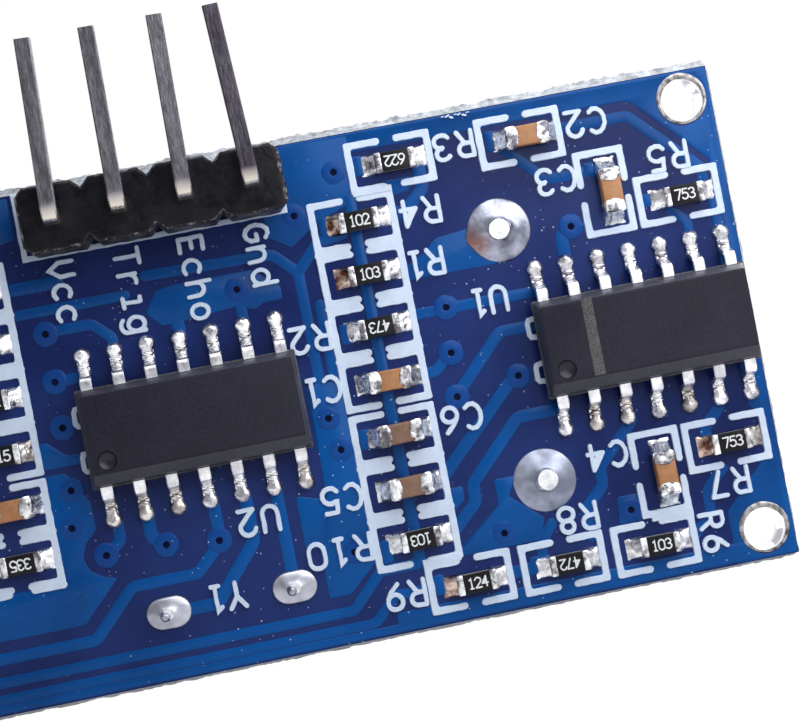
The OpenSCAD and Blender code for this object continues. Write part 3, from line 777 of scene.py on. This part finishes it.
# solid bars: the frame round the header, then bars between brackets (two opposite corners each)
BARS = [(-5.42, 7.22, -5.18, 9.9), (-5.42, 7.22, 5.05, 7.44), (4.83, 7.22, 5.05, 9.85),
        (-5.42, 9.68, 5.05, 9.88), (7.7, 7.32, 9.25, 7.58), (7.6, -7.5, 9.15, -7.2),
        (16.9, -7.55, 18.6, -7.2)]
PART_NAMES = [("R3", 12.85, 9.15), ("C2", 18.2, 9.1), ("C3", 16.6, 7.05), ("R5", 21.2, 7.15),
              ("R4", 11.05, 6.85), ("R1", 10.8, 4.8), ("U1", 12.98, 2.85), ("R2", 5.85, 2.72),
              ("C1", 5.85, 0.62), ("C6", 11.1, -1.5), ("C5", 5.85, -3.7), ("R10", 5.85, -5.75),
              ("R9", 7.6, -7.95), ("R8", 14.88, -6.32), ("C4", 16.5, -4.1), ("R7", 21.15, -6.12),
              ("U2", 2.5, -3.9), ("Y1", 0.62, -6.6), ("U3", -11.9, 2.8), ("C8", -15.7, 7.1)]

legend = Shape(rag=0.02)
for place_and_angle in COLUMNS:
    bracket_box(legend, *place_and_angle)
for u in (7.51, -7.9):
    for v in (5.315, 3.195, 1.08, -3.21, -5.325):
        for side in (-1, 1):
            line(legend, [(u + side * 0.5, v), (u + side * 1.62, v)], 0.3, 0, INK_TOP - 0.006)
for place_and_angle in SINGLES:
    bracket_box(legend, *place_and_angle)
for u0, v0, u1, v1 in BARS:
    plate(legend, [(u0, v0), (u1, v0), (u1, v1), (u0, v1)], 0, INK_TOP)
# the hooks printed at one end of each chip
for u in (-4.62, 13.5, -22.1):
    for v in (0.92, -0.86):
        hook = [(0.45, 0.4), (0.06, 0.33), (0, 0.2), (0, -0.22), (0.08, -0.34), (0.45, -0.38)]
        line(legend, [(u + x, v + y) for x, y in hook], 0.22, 0, INK_TOP)
for text, u, v in PART_NAMES:
    write(legend, text, (u - 0.11, v - 0.02 - 0.04 * v / 8), 180, 0.98, 0.19, 0.93)
for text, u in [("Vcc", -4.49), ("Trig", -1.92), ("Echo", 0.61), ("Gnd", 3.2)]:
    write(legend, text, (u, 7.0), -90, 0.92, 0.18, 0.88)
write(legend, "R6", (18.78, -7.68), -90, 0.9, 0.19, 0.92)
# a patch of flaked lacquer at the top edge
for k in range(7):
    at = (11.7 + k * 0.17, 9.8 - 0.03 * (k % 3))
    end = (at[0] + 0.09 + 0.03 * (k % 2), at[1] + 0.05 * math.sin(k * 2.1))
    line(legend, [at, end], 0.05 + 0.02 * (k % 3), 0, 0.03, 0.01)
legend.make("legend_back", [LEGEND], "board", (), 40)


# ---------------------------------------------------------------- small parts

def lump(shape, u, v, angle, reach, high, seed, slot):
    """Solder that climbs from a pad's end up to a part: high at the part, thinning outwards."""
    low, width, bulge = 0.05, 0.9, 0.04
    nu, nv = 12, 10
    n = nv + 1
    verts = []
    for i in range(nu + 1):
        s = i / nu
        for j in range(n):
            t = 2 * j / nv - 1
            w = low + (high - low) * (1 - s) ** 1.9 + bulge * math.sin(math.pi * min(s * 1.1, 1))
            w += 0.11 * high * uneven(s * 3.1 + seed, t * 2.7, seed * 1.7)
            w += 0.05 * high * uneven(s * 8, t * 7, seed)
            spread = 1 - 0.1 * s + 0.05 * uneven(s * 5, seed, t)
            p = turned([(s * reach, t * width / 2 * spread)], angle, (u, v))[0]
            verts.append((*p, max(w * (1 - abs(t) ** 5) * (1 - s ** 7), 0.004)))
    edge = list(range(n)) + [i * n + nv for i in range(1, nu + 1)]
    edge += [nu * n + j for j in reversed(range(nv))] + [i * n for i in reversed(range(1, nu))]
    base, m = len(verts), len(edge)
    verts += [(*verts[i][:2], 0.0) for i in edge]
    faces = [(i * n + j, i * n + j + 1, (i + 1) * n + j + 1, (i + 1) * n + j)
             for i in range(nu) for j in range(nv)]
    faces += [(edge[k], base + k, base + (k + 1) % m, edge[(k + 1) % m]) for k in range(m)]
    shape.add(verts, faces + [tuple(range(base, base + m))], slot)


def small_part(shape, u, v, code=None, angle=0, high=0.45, coppery=False, read=0):
    """A chip resistor (with a code read at that angle) or a capacitor, and its solder."""
    seed = abs(u * 3.7 + v * 1.3)
    at, tilt = (u, v), angle + 1.6 * uneven(seed, 0.3, 0.7)
    if code:
        block(shape, at, tilt, 0, 1.5, 0.76, 0.03, high - 0.06, 0.03, 1)
        block(shape, at, tilt, 0, 1.1, 0.77, high - 0.1, 0.1, 0.03, 2)
        size = 0.4
        start = (0.38, size / 2) if read else (-0.38, -size / 2)
        for side in (-1, 1):
            block(shape, at, tilt, side * 0.67, 0.27, 0.8, 0.02, high, 0.05)
        for k, letter in enumerate(code):
            for points in GLYPHS[letter]:
                path = [(x * size * 0.95 + k * 0.275, y * size) for x, y in points]
                path = turned(turned(path, read, start), tilt, at)
                line(shape, path, 0.07, high - 0.02, high + 0.01, 0.01, 3)
    else:
        block(shape, at, tilt, 0, 1.4, 0.8, 0.03, high - 0.05, 0.06, 2)
        for side in (-1, 1):
            block(shape, at, tilt, side * 0.66, 0.44, 0.87, 0.02, high + 0.02, 0.13, bow=-side * 0.12)
    begin = 0.66 if code else 0.8
    for side in (-1, 1):
        slot = 2 if side < 0 and coppery else int(uneven(seed, side, 4.0) > 0.28)
        start = turned([(side * begin, 0)], tilt, at)[0]
        lump(solder, *start, angle + (0 if side > 0 else 180), 1.35 - begin, high * 1.02, seed + side, slot)


def resistors(name, node, parts):
    """One piece with a chip resistor for each (u, v, code, read, coppery)."""
    shape = Shape()
    for u, v, code, read, coppery in parts:
        small_part(shape, u, v, code, read=read, coppery=coppery)
    shape.make(name, [TERMINAL, ALUMINA, GLAZE, DIGITS], "resistor", [node], 35)


def capacitors(name, node, parts, ceramic=TAN):
    """One piece with a chip capacitor for each (u, v, angle)."""
    shape = Shape()
    for u, v, angle in parts:
        small_part(shape, u, v, None, angle, 0.7)
    shape.make(name, [TERMINAL, ALUMINA, ceramic, DIGITS], "capacitor", [node], 35)


# each resistor's code, the angle it is read at, and whether its left end shows copper
CODES = {"r1": ("103", 0, True), "r2": ("473", 180, False), "r3": ("622", 180, False), "r4": ("102", 0, True),
         "r5": ("753", 0, False), "r6": ("103", 0, False), "r7": ("753", 0, True), "r8": ("472", 180, False),
         "r9": ("124", 0, True), "r10": ("103", 180, False)}
DRIVER_SIDE_RESISTORS = [(-7.7, 6.4, "102", 0), (-7.7, 4.275, "103", 0), (-7.7, 2.15, "472", 0),
                         (-7.7, 0.025, "515", 0), (-7.7, -4.225, "335", 180), (-9.55, 8.45, "103", 0),
                         (-13.3, -8.45, "102", 0)]
DRIVER_SIDE_CAPACITORS = [(-7.7, -2.1, 0), (-20.6, 5, 0), (-20.6, -5, 0), (-17.75, 5.7, 90),
                          (-17.75, -5.7, 90)]

solder = Shape()
for part, (code, read, coppery) in CODES.items():
    u, v = centre("resistor_" + part)[:2]
    resistors("chip_resistor_" + part, "resistor_" + part, [(u, v, code, read, coppery)])
for number in range(1, 7):
    node = f"capacitor_c{number}"
    u, v, size = centre(node)
    angle = 90 if size.z > size.x else 0
    capacitors("chip_" + node, node, [(u, v, angle)], BROWN if number > 4 else TAN)
resistors("chip_resistors_driver_side", "driver_side_resistors", [(*r, False) for r in DRIVER_SIDE_RESISTORS])
capacitors("chip_capacitors_driver_side", "driver_side_capacitors", DRIVER_SIDE_CAPACITORS)
solder.make("solder_small_parts", [SOLDER, FLUXED, COPPERY], "solder", (), 60)


# ---------------------------------------------------------------- chips

LEAD_PITCH = 1.27


def chip_body(name, node, u, v, long, marked):
    """Moulded body with a parting line, a wide bevel on one side and a dimple."""
    low, part, top, half = 0.15, 0.8, 1.55, 1.95
    # each level's height, and how far its ends and its upper and lower sides stand out
    levels = [(low, -0.1, -0.1, -0.1), (low + 0.02, -0.08, -0.08, -0.08), (part - 0.05, -0.02, -0.02, -0.02),
              (part, 0.0, 0.0, 0.0), (part + 0.02, -0.04, -0.045, -0.045), (1.15, -0.11, -0.14, -0.14),
              (1.175, -0.12, -0.15, -0.165), (top - 0.03, -0.185, -0.265, -0.53),
              (top - 0.01, -0.195, -0.28, -0.56), (top, -0.225, -0.31, -0.6)]
    rings = []
    for w, ends, upper, lower in levels:
        end, high, deep = long / 2 + ends, half + upper, -half - lower
        ring = rounded([(-end, deep), (end, deep), (end, high), (-end, high)], 0.09, 3)
        rings.append([(u + a, v + b, w) for a, b in ring])
    shape = Shape(weld=True)
    # the sloped sides above the parting line take the lighter epoxy copy, which is painted light
    shape.rings(rings, caps=False, slots=[0, 0, 0, 1, 2, 2, 2, 2, 0])
    shape.add(rings[0], [tuple(reversed(range(len(rings[0]))))], 0)
    cx, cy, r, sides = u - long / 2 + 0.8, v - 0.9, 0.38, 28
    steps = [(r, top)]
    steps += [(r * math.cos(a), top - 0.01 - 0.2 * math.sin(a)) for a in (0.3, 0.5, 0.7, 0.9, 1.1, 1.3, 1.5)]
    dimple = [[(*p, w) for p in circle(cx, cy, reach, sides)] for reach, w in steps]
    shape.pierced([rings[-1], dimple[0]])
    shape.rings(dimple, 3, caps=False)
    shape.add(dimple[-1], [tuple(range(sides))], 3)
    if marked:
        stripe = [(u - 2.5, v - 1.35), (u - 2.05, v - 1.35), (u - 2.05, v + 1.72), (u - 2.5, v + 1.72)]
        plate(shape, stripe, top - 0.01, top + 0.002, 0.01, 1)
    shape.make(name + "_moulding", [CHIP, MARK, LIT_BEVEL, DIMPLE], "chip_plastic", [node], 24)


def foot(shape, u, v, side):
    """Solder round one lead's toe: a ball at the toe, a neck behind it and two beads on the neck."""
    seed = u * 1.9 + side
    toe, root = 3.24, 2.92
    rings = []
    for k, (grow, w) in enumerate([(0.0, 0.0), (0.0, 0.1), (-0.03, 0.19), (-0.08, 0.26), (-0.14, 0.31),
                                   (-0.2, 0.34), (-0.26, 0.35)]):
        r, neck = 0.335 + grow, max(0.24 + grow * 0.9, 0.03)
        back, waist = 2.5 - grow * 0.4, root + (toe - root) * min(-grow * 2, 0.8)
        outline = arc(0, toe, r, r, -42, 222, 16)
        outline += [(-neck, waist), (-neck, 2.7), (-neck, back), (neck, back), (neck, 2.7), (neck, waist)]
        ring = []
        for x, y in outline:
            rough = noise.noise_vector(Vector((x * 5 + seed, y * 5, w * 6 + seed))) * 0.022
            sag = 0.13 * k / 6 if y < 2.95 else 0
            rise = (0.05 * uneven(x * 4, y * 4, seed + 5) - sag) * (k > 1)
            ring.append((u + x + rough.x, v + side * (y + rough.y), w + rise))
        rings.append(ring if side > 0 else ring[::-1])
    # only joints in the lower row may take the darker, browner second finish
    dull = int(side < 0 and uneven(seed, 7.1, 0.2) > 0.1)
    shape.rings(rings, dull)
    for y, r, top in ((2.84, 0.245, 0.32), (2.62, 0.235, 0.36)):
        bead = [(r, 0.0), (r, top * 0.5), (r * 0.88, top * 0.82), (r * 0.55, top * 0.97), (0.02, top)]
        revolve(shape, u, v + side * y, bead, 18, dull, squash=0.5, wobble=0.12, seed=seed + y)


def chip(name, per_side, long, marked=False):
    """A gull-wing chip: its body, its leads and their solder."""
    u, v = centre(name + "_body")[:2]
    chip_body(name, name + "_body", u, v, long, marked)
    wings, joints = Shape(), Shape()
    section = bar_section(0.46, 0.2, 0.04)
    profile = [(1.9, 0.8), (2.32, 0.8), (2.56, 0.12), (3.05, 0.1)]
    for side in (-1, 1):
        for i in range(per_side):
            lead_u = u + (i - (per_side - 1) / 2) * LEAD_PITCH
            jog = 0.015 * uneven(lead_u * 2, side * 3.1, 1.0)
            path = soft_path([(lead_u, v + side * y, w) for y, w in profile], 0.16)
            sweep(wings, [(p.x + jog, p.y, p.z) for p in path], section, (1, 0, 0))
            foot(joints, lead_u, v, side)
    wings.make(name + "_gull_wings", [LEAD], "tinned_lead", [name + "_leads"], 40)
    joints.make(name + "_joints", [SOLDER, FLUXED], "solder", (), 60)


def transistor():
    """Switching transistor with three leads."""
    u, v = centre("transistor_body")[:2]
    body, leads, joints = Shape(), Shape(), Shape()
    block(body, (u, v), 0, 0, 2.9, 1.3, 0.1, 0.9, 0.07, taper=0.04)
    body.make("transistor_moulding", [CHIP], "chip_plastic", ["transistor_body"], 30)
    for side, du in ((-1, 0), (1, -0.95), (1, 0.95)):
        profile = [(0.62, 0.54), (0.8, 0.54), (0.95, 0.08), (1.24, 0.07)]
        path = soft_path([(u + du, v + side * y, w) for y, w in profile], 0.1)
        sweep(leads, path, bar_section(0.42, 0.12, 0.02), (1, 0, 0))
        block(joints, (u + du, v + side * 1.22), 0, 0, 0.6, 0.55, 0, 0.16, 0.07)
    leads.make("transistor_wings", [LEAD], "tinned_lead", ["transistor_leads"], 40)
    joints.make("transistor_joints", [SOLDER], "solder", (), 60)


chip("controller", 7, 8.65)
chip("amplifier", 7, 8.65, marked=True)
chip("driver", 8, 9.9)
transistor()


# ---------------------------------------------------------------- header

PIN_PITCH = 2.54
PIN_U = [(i - 1.5) * PIN_PITCH for i in range(4)]
# how many degrees each pin leans, and how far they reach above their row
PIN_LEANS = {"supply": 2.3, "trigger": 1.0, "echo": 1.2, "ground": -2.4}
PIN_REACH = 6.61


def housing():
    """Four square cells in one moulding, torn at its cut end and scuffed low on its sides."""
    half, cut, high = PIN_PITCH / 2, 0.32, 2.5
    outline = []
    for u in PIN_U:
        outline += [(u - half + cut, -half), (u + half - cut, -half), (u + half, -half + cut)]
    for u in reversed(PIN_U):
        outline += [(u + half, half - cut), (u + half - cut, half), (u - half + cut, half)]
    outline += [(PIN_U[0] - half, half - cut), (PIN_U[0] - half, -half + cut)]
    outline = ragged(outline, 0.0, 0.2)
    rings = []
    for w, grow in [(0.0, 0.0), (0.6, 0.0), (1.3, 0.0), (2.0, 0.0), (high - 0.12, 0.0), (high - 0.05, -0.03),
                    (high - 0.01, -0.09), (high, -0.16)]:
        ring = []
        for x, y in inset(outline, -grow):
            torn = max(0.0, (x - 4.4) / 0.7)
            bite = 0.14 * uneven(x * 3, y * 4, w * 3) + 0.05 * uneven(x * 11, y * 12, w * 9) - 0.02
            flash = 0.05 * uneven(x * 2.2, y * 2, w * 1.5 + 4) * (1 if y < 0 else 0.5)
            rise = 0.03 * uneven(x * 3, y * 3, 2.0) if w > 2.3 else 0
            ring.append((x + torn * bite, HEADER_V + y + flash, w + rise))
        rings.append(ring)
    shape = Shape()
    shape.rings(rings, slots=[1, 1, 1, 1, 1, 1, 0])
    for u in PIN_U[:-1]:
        ridge = arc(u + half, HEADER_V - 0.86, 0.34, 0.26, 20, 160)
        line(shape, ridge, 0.09, high - 0.1, high + 0.015, 0.03)
    shape.make("header_moulding", [BLOCK, SCUFFED], "header_plastic", ["header_housing"], 35)


def pin(name, u, lean):
    """A square pin, bent over towards the top edge and leaning by some degrees."""
    above, a = 3.4, math.radians(lean)
    points = [(0, -THICK - 1.2), (0, -THICK - 1.1), (0, 2.4), (0, above), (1.0, above),
              (PIN_REACH - 0.04, above), (PIN_REACH, above)]
    path = soft_path([(0, y, w) for y, w in points], 0.66, 9)
    path = [(u + p.y * math.sin(a), HEADER_V + p.y * math.cos(a), p.z) for p in path]
    shape = Shape()
    sweep(shape, path, bar_section(0.6, 0.6, 0.05), (math.cos(a), -math.sin(a), 0))
    # the ground pin is painted darker: painted shade
    finish = SHADED_PIN if name == "ground" else PIN
    shape.make("pin_" + name, [finish], "header_pin", ["header_pin_" + name], 30)


housing()
for u, (name, lean) in zip(PIN_U, PIN_LEANS.items()):
    pin(name, u, lean)


# ---------------------------------------------------------------- hand solder on the back

def dome(shape, u, v, outline, high, tip_r, tip_h, slot, seed):
    """A mound inside an outline, running up to a terminal's tip at (u, v)."""
    rings = []
    for share, rise in [(1.0, 0.0), (0.995, 0.05), (0.97, 0.1), (0.9, 0.17), (0.8, 0.25), (0.68, 0.34),
                        (0.55, 0.45), (0.42, 0.6), (0.32, 0.78), (0.26, 0.93), (0.225, 1.0)]:
        ring = []
        for p in outline:
            x, y = Vector((u, v)).lerp(Vector(p), share)
            rough = 0.05 * uneven(x * 2.1, y * 2.1, seed) * (rise > 0.04)
            ring.append((x, y, (rise + rough) * high))
        rings.append(ring)
    shape.rings(rings, slot)
    top = high * 0.82
    collar = [(1.7, -0.3), (1.6, -0.03), (1.4, 0.03), (1.15, 0.06), (1.0, 0.13)]
    nub = [(0.93, 0.45), (0.82, 0.64), (0.62, 0.82), (0.34, 0.95)]
    profile = [(tip_r * share, top + rise) for share, rise in collar]
    profile += [(tip_r * share, top + tip_h * rise) for share, rise in nub] + [(0.02, top + tip_h)]
    revolve(shape, u, v, profile, 32, 2, wobble=0.07, seed=seed)


def tear(u, v, r, tail):
    """A round head with straight sides running to a blunt tail on one side."""
    out = []
    tail = Vector(tail)
    at = math.atan2(tail.y, tail.x)
    spread = math.acos(min(1.0, r / tail.length))
    for i in range(48):
        t = math.tau * i / 48
        off = abs((t - at + math.pi) % math.tau - math.pi)
        k = min(r / math.cos(spread - off), tail.length * 0.96) if off < spread else r
        out.append((u + math.cos(t) * k, v + math.sin(t) * k))
    return out


mounds = Shape()
dome(mounds, 13.18, 5.04, tear(13.1, 5.0, 1.27, (-1.42, -0.15)), 0.6, 0.25, 0.28, 0, 1.3)
dome(mounds, 13.02, -5.06, tear(13.0, -5.06, 1.26, (-1.32, 0.2)), 0.4, 0.3, 0.3, 1, 2.9)
dome(mounds, -13.0, 5.05, tear(-13.0, 5.05, 1.26, (1.4, -0.3)), 0.5, 0.36, 0.3, 1, 4.1)
dome(mounds, -13.0, -5.05, tear(-13.0, -5.05, 1.26, (1.4, 0.3)), 0.55, 0.36, 0.3, 0, 5.3)
mounds.make("solder_transducers", [STAINED_SOLDER, DULL_SOLDER, TIP], "solder", ["transducer_solder"], 60)

CRYSTAL_V = centre("crystal_can")[1]
pads = Shape()
for k, u in enumerate((-2.5, 2.5)):
    at = Vector((u - 0.13, CRYSTAL_V - 0.08))
    outline = arc(u + 0.25, CRYSTAL_V, 0.65, 0.64, -90, 90, 12)
    outline += arc(u - 0.25, CRYSTAL_V, 0.65, 0.64, 90, 270, 12)
    rings = []
    for share, w in [(1, 0), (0.995, 0.05), (0.95, 0.1), (0.83, 0.145), (0.65, 0.18), (0.47, 0.21),
                     (0.33, 0.26), (0.25, 0.34)]:
        rings.append([(*at.lerp(Vector(p), share), w + 0.012 * uneven(p[0] * 3, p[1] * 3, w * 7))
                      for p in outline])
    pads.rings(rings)
    tip = [(0.21, 0.1), (0.21, 0.42), (0.185, 0.51), (0.13, 0.585), (0.07, 0.62), (0.02, 0.63)]
    revolve(pads, u - 0.14, CRYSTAL_V - 0.09, tip, 24, 1, wobble=0.04, seed=k)
pads.make("solder_crystal", [SMOOTH_SOLDER, TIP], "solder", ["crystal_solder"], 60)


# ---------------------------------------------------------------- front side

cones = Shape(FRONT)
for k, u in enumerate(PIN_U):
    cone = [(0.85, 0), (0.84, 0.05), (0.72, 0.16), (0.58, 0.35), (0.47, 0.6), (0.4, 0.8), (0.34, 0.9)]
    revolve(cones, -u, HEADER_V, cone, 28, wobble=0.06, seed=k)
cones.make("solder_header", [SOLDER], "solder", ["header_solder"], 60)

FRONT_TRACKS = [
    ([(-3.81, 8.5), (-3.81, 5.5), (-4.7, 4.6), (-4.7, 0.5)], 0.5),
    ([(3.81, 8.5), (3.81, 5.2), (4.6, 4.4), (4.6, 0.5)], 0.7),
    ([(-1.27, 8.5), (-1.27, 3.0), (-0.2, 1.9), (-0.2, -3.2)], 0.4),
    ([(1.27, 8.5), (1.27, 4.4), (0.8, 3.9), (0.8, -2.5), (2.5, -4.2)], 0.4),
    ([(-2.8, 4.6), (-2.8, 3.2), (-1.2, 1.5), (-1.2, -2.9), (-2.5, -4.2)], 0.4),
    ([(2.5, 5.2), (2.5, 1.2), (3.3, 0.4), (3.3, -2.4)], 0.4),
]
front = Shape(FRONT)
for points, width in FRONT_TRACKS:
    line(front, points, width, 0, COPPER_TOP, 0.03, bend=0.2)
front_vias = Shape(FRONT)
for k, (u, v) in enumerate([(-2.8, 4.6), (2.5, 5.2), (3.3, -2.4), (-0.2, -3.2), (-3.4, -1.6)]):
    via(front_vias, u, v, k)
front_vias.make("vias_front", [VIA_RING, HOLE_DARK], "board", (), 50)
for side in (-1, 1):
    pour(front, [(side * 19.8, 9.75), (side * 5.4, 9.75), (side * 5.4, 8.6), (side * 19.8, 8.6)])
front.make("copper_front", [COPPER], "board", (), 30)

TRANSDUCER_U = 13.0
ink = Shape(FRONT)
for u in (-TRANSDUCER_U, TRANSDUCER_U):
    hoop(ink, u, 0, [(8.24, 0), (8.24, INK_TOP), (8.46, INK_TOP), (8.46, 0)])
round_crystal = arc(-3.4, CRYSTAL_V, 2.45, 2.5, 90, 270, 12) + arc(3.4, CRYSTAL_V, 2.45, 2.5, -90, 90, 12)
line(ink, round_crystal + [(-3.3, CRYSTAL_V + 2.5)], 0.2, 0, INK_TOP)
line(ink, [(-5.3, 7.3), (5.3, 7.3)], 0.2, 0, INK_TOP)
write(ink, "T", (-19.4, -9.2), 0, 1.3, 0.2, 1)
write(ink, "R", (18.5, -9.2), 0, 1.3, 0.2, 1)
ink.make("legend_front", [LEGEND], "board", (), 40)


def can(name, u):
    """Drawn cup with rounded shoulders and a rolled mouth, and the woven screen in it."""
    cup = Shape(FRONT)
    hoop(cup, u, 0, [(7.5, 0.02), (7.96, 0.02), (8.0, 0.1), (8.0, 11.3), (7.95, 11.62), (7.82, 11.86),
                     (7.6, 11.97), (7.3, 12.0), (6.75, 12.0), (6.58, 11.94), (6.5, 11.8), (6.52, 11.62),
                     (6.64, 11.52), (7.35, 11.48), (7.5, 11.3), (7.5, 0.1)])
    cup.make(name + "_cup", [CAN], "can_metal", [name + "_can"], 40)
    weave = Shape(FRONT)
    pitch, reach, level, wave, wire = 0.62, 7.1, 11.33, 0.09, 0.1
    section = arc(0, 0, wire, wire, 30, 330, 5)
    count = int(reach / pitch)
    for k in range(-count, count + 1):
        off = k * pitch
        half = math.sqrt(max(reach ** 2 - off ** 2, 0.04))
        steps = max(4, int(half * 2 / pitch * 2))
        for along, across in ((0, (0, 1, 0)), (1, (1, 0, 0))):
            path = []
            for i in range(steps + 1):
                s = -half + 2 * half * i / steps
                w = level + wave * math.cos(math.pi * (s / pitch + k + along))
                path.append((u + off, s, w) if along else (u + s, off, w))
            sweep(weave, path, section, across)
    hoop(weave, u, 0, [(7.0, 11.2), (7.3, 11.2), (7.3, 11.46), (7.0, 11.46)])
    weave.make(name + "_weave", [SCREEN], "screen_metal", [name + "_screen"], 60)


def crystal_piece(name, node, profile):
    """A round-ended solid from a profile of (how far it stands out, w)."""
    flat, half_wide = 3.2, 2.1
    rings = []
    for out, w in profile:
        r = half_wide + out
        ring = arc(flat, CRYSTAL_V, r, r, -90, 90, 14) + arc(-flat, CRYSTAL_V, r, r, 90, 270, 14)
        rings.append([(*p, w) for p in ring])
    shape = Shape(FRONT)
    shape.rings(rings)
    shape.make(name, [CRYSTAL], "crystal_metal", [node], 40)


can("transmitter", TRANSDUCER_U)
can("receiver", -TRANSDUCER_U)
crystal_piece("crystal_cup", "crystal_can", [(0, 0.5), (0, 3.2), (-0.05, 3.42), (-0.16, 3.54), (-0.34, 3.6),
                                             (-0.6, 3.6), (-0.75, 3.57), (-0.9, 3.57)])
crystal_piece("crystal_flange", "crystal_base", [(0.05, 0.0), (0.17, 0.04), (0.2, 0.15), (0.2, 0.36),
                                                 (0.15, 0.46), (0.02, 0.5)])


# ---------------------------------------------------------------- stage, lights, camera

scene = bpy.context.scene

floor_z = cad_box[0][2] - 0.0002
data = bpy.data.meshes.new("floor")
data.from_pydata([(*p, floor_z) for p in rectangle(6, 6)], [], [(0, 1, 2, 3)])
floor = bpy.data.objects.new("floor", data)
scene.collection.objects.link(floor)
# the paper looks evenly white, but throws little light back on the board
paper = Finish("floor_paper")
rays = paper.node("ShaderNodeLightPath").outputs
direct = paper.math("ADD", rays["Is Camera Ray"], rays["Is Glossy Ray"])
grey = paper.mix(paper.noise(0.02), linear((90, 90, 92)), linear((96, 96, 98)))
glow = paper.span(direct, 0.0, 1.0, 0.36, 0.97)
paper.set(Base_Color=grey, Roughness=0.9, Emission_Color=(1, 1, 1, 1), Emission_Strength=glow, shine=0.0)
data.materials.append(paper.material)

# a bright tent: dark in the middle of the chip side, brighter up and to the right
world = bpy.data.worlds.new("studio")
scene.world = world
world.use_nodes = True
sky = Nodes(world.node_tree)
sky.tree.nodes.clear()
way = sky.node("ShaderNodeTexCoord").outputs["Generated"]
ahead, aside = (sky.node("ShaderNodeVectorMath", {0: way, 1: axis}, operation="DOT_PRODUCT").outputs["Value"]
                for axis in ((0, 1, 0), (-0.55, 0, 0.7)))
rays = sky.node("ShaderNodeLightPath").outputs
power = sky.math("MULTIPLY_ADD", sky.span(ahead, 0.6, 0.96, 0.6, 0.33), sky.span(aside, -0.8, 0.8, 0.5, 1.45),
                 sky.span(ahead, -0.2, -0.7, 0.0, 0.35))
power = sky.math("MULTIPLY", power, sky.span(rays["Is Diffuse Ray"], 0.0, 1.0, 1.0, 0.5))
lit = sky.node("ShaderNodeBackground", {"Color": (0.94, 0.97, 1.0, 1), "Strength": power}).outputs[0]
white = sky.node("ShaderNodeBackground", {"Color": (1, 1, 1, 1), "Strength": 1.0}).outputs[0]
both = sky.node("ShaderNodeMixShader", {0: rays["Is Camera Ray"], 1: lit, 2: white}).outputs[0]
sky.node("ShaderNodeOutputWorld", {"Surface": both})

TARGET = place(BACK, 8, 0, 0)


def lamp(name, direction, distance, size, watts):
    """A square soft light aimed at the board. direction is (u, v, w) from the board."""
    light = bpy.data.lights.new(name, "AREA")
    light.shape, light.size, light.energy = "SQUARE", size, watts
    piece = bpy.data.objects.new(name, light)
    scene.collection.objects.link(piece)
    way = Vector((-direction[0], direction[2], direction[1])).normalized()
    piece.location = TARGET + way * distance
    piece.rotation_euler = (-way).to_track_quat("-Z", "Y").to_euler()


lamp("key", (0.75, 1.0, 0.85), 0.056, 0.08, 0.06)
lamp("front_key", (0.7, 0.9, -1.2), 0.6, 0.35, 2.6)
lamp("front_fill", (-0.9, 0.3, -1.0), 0.6, 0.35, 1.2)

lens = bpy.data.cameras.new("camera")
lens.sensor_width = 36
lens.lens = 91.56
lens.clip_start, lens.clip_end = 0.001, 20
camera = bpy.data.objects.new("camera", lens)
scene.collection.objects.link(camera)
camera.location = (-0.00197, 0.08209, 0.00158)
aim, roll = Vector((-0.00837, 0.0016, 0.00063)), math.radians(-11.08)
look = (aim - camera.location).to_track_quat("-Z", "Y").to_matrix()
camera.rotation_euler = (look @ Matrix.Rotation(roll, 3, "Z")).to_euler()
scene.camera = camera
scene.view_settings.view_transform = "Standard"
